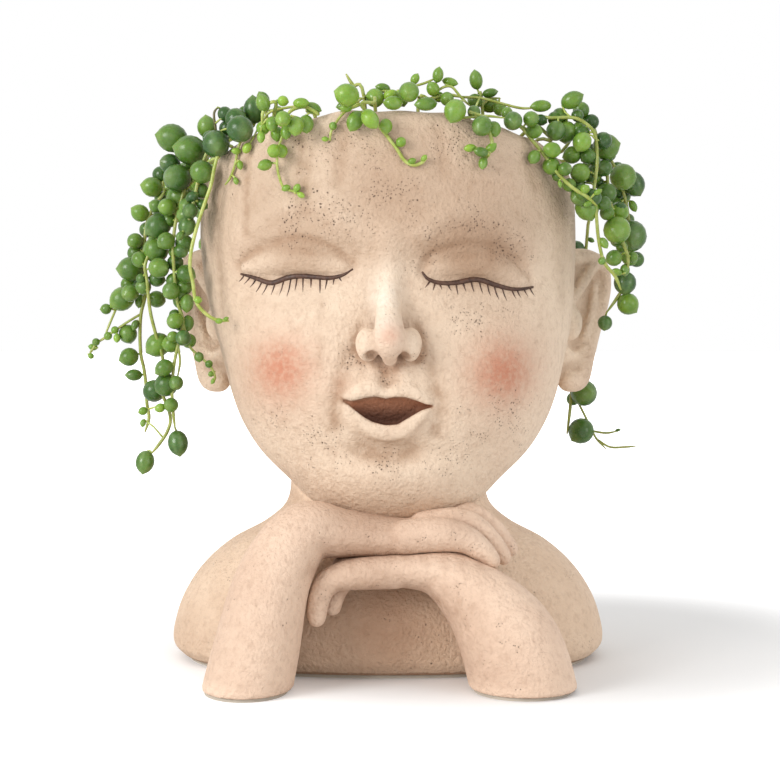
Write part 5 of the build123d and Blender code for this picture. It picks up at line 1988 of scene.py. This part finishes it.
pot_tones = ((0.012, 0.012, 0.012), (0.022, 0.022, 0.022))
pad_tones = ((0.45, 0.40, 0.33), (0.52, 0.46, 0.38))
plug_tones = ((0.022, 0.022, 0.022), (0.035, 0.035, 0.035))
pot_plastic = plastic_material("pot_plastic", pot_tones, (0.32, 0.48), 60)
pad_rubber = plastic_material("pad_rubber", pad_tones, (0.75, 0.9), 120)
plug_rubber = plastic_material("plug_rubber", plug_tones, (0.55, 0.7), 120)
for node, material in (("grow_pot", pot_plastic), ("drain_plug", plug_rubber), ("base_pad", pad_rubber),
                       ("left_elbow_pad", pad_rubber), ("right_elbow_pad", pad_rubber)):
    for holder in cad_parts[node].material_slots:
        holder.material = material


# Light, floor and camera, in metres
# Each lamp's name, its place, the place it points at, its side and its power in watts.
lamps = (
    ("key", (-0.80, -0.75, 0.46), (0, 0, 0.08), 0.5, 8),
    ("fill", (0.95, -0.75, 0.28), (0, 0, 0.07), 0.55, 2),
)
surround_strength = 0.88
floor_half_side = 12
shadow_middle = (0.05, 0.03, 0)
shadow_reach = (0.09, 0.24)
floor_cloud = (3, 2, 0.3, 0.7)
floor_tones = ((0.85, 0.85, 0.85), (0.87, 0.87, 0.87))
floor_look = {"Roughness": 0.9, "Specular_IOR_Level": 0.1}
sensor_width = 36


def add_floor():
    """A pale floor that shows as white and keeps the object's shadow."""
    paint = Paint("pale_floor")
    light_path = paint.node("ShaderNodeLightPath")
    speck = paint.mix(paint.cloud(*floor_cloud), *floor_tones)
    glow = paint.node("ShaderNodeEmission")
    from_shadow = paint.node("ShaderNodeVectorMath", operation="DISTANCE")
    from_shadow.inputs[1].default_value = shadow_middle
    paint.link(paint.place(), from_shadow.inputs[0])
    fade = paint.ramp(from_shadow.outputs["Value"], *shadow_reach)
    seen = paint.math("MULTIPLY", light_path.outputs["Is Camera Ray"], fade)
    paint.link(seen, glow.inputs["Strength"])
    total = paint.node("ShaderNodeAddShader")
    output = paint.tree.nodes["Material Output"]
    paint.finish(speck, **floor_look)
    paint.link(paint.shader.outputs[0], total.inputs[0])
    paint.link(glow.outputs[0], total.inputs[1])
    paint.link(total.outputs[0], output.inputs["Surface"])
    size = floor_half_side
    mesh = bpy.data.meshes.new("floor")
    corners = [(-size, -size, 0), (size, -size, 0), (size, size, 0), (-size, size, 0)]
    mesh.from_pydata(corners, [], [(0, 1, 2, 3)])
    mesh.materials.append(paint.material)
    floor = bpy.data.objects.new("floor", mesh)
    bpy.context.scene.collection.objects.link(floor)


def add_lamp(name, place, aim, size, power):
    """A square soft lamp that points at a place."""
    light = bpy.data.lights.new(name, "AREA")
    light.shape = "SQUARE"
    light.size = size
    light.energy = power
    lamp = bpy.data.objects.new(name, light)
    lamp.location = place
    lamp.rotation_euler = (Vector(aim) - Vector(place)).to_track_quat("-Z", "Y").to_euler()
    bpy.context.scene.collection.objects.link(lamp)


def add_world():
    """A white surround, seen white by the camera and dimmer as a light."""
    world = bpy.data.worlds.new("studio")
    world.use_nodes = True
    tree = world.node_tree
    backdrop = tree.nodes["Background"]
    backdrop.inputs["Color"].default_value = (1, 1, 1, 1)
    rays = tree.nodes.new("ShaderNodeLightPath")
    seen = tree.nodes.new("ShaderNodeMath")
    seen.operation = "MAXIMUM"
    tree.links.new(rays.outputs["Is Camera Ray"], seen.inputs[0])
    tree.links.new(rays.outputs["Is Transmission Ray"], seen.inputs[1])
    strength = tree.nodes.new("ShaderNodeMapRange")
    strength.inputs["To Min"].default_value = surround_strength
    strength.inputs["To Max"].default_value = 1.0
    tree.links.new(seen.outputs[0], strength.inputs["Value"])
    tree.links.new(strength.outputs[0], backdrop.inputs["Strength"])
    bpy.context.scene.world = world


def add_camera():
    """The camera at the photograph's place and angle."""
    data = bpy.data.cameras.new("camera")
    data.sensor_width = sensor_width
    data.lens = focal_px / frame_width_px * data.sensor_width
    data.shift_x = (frame_width_px / 2 - centre_px[0]) / frame_width_px
    camera = bpy.data.objects.new("camera", data)
    camera.location = (0, -camera_distance * MM, camera_height * MM)
    camera.rotation_euler = (math.radians(90 - camera_pitch_deg), 0, 0)
    bpy.context.scene.collection.objects.link(camera)
    bpy.context.scene.camera = camera


add_floor()
add_world()
for lamp in lamps:
    add_lamp(*lamp)
add_camera()
bpy.context.scene.view_settings.view_transform = "Standard"
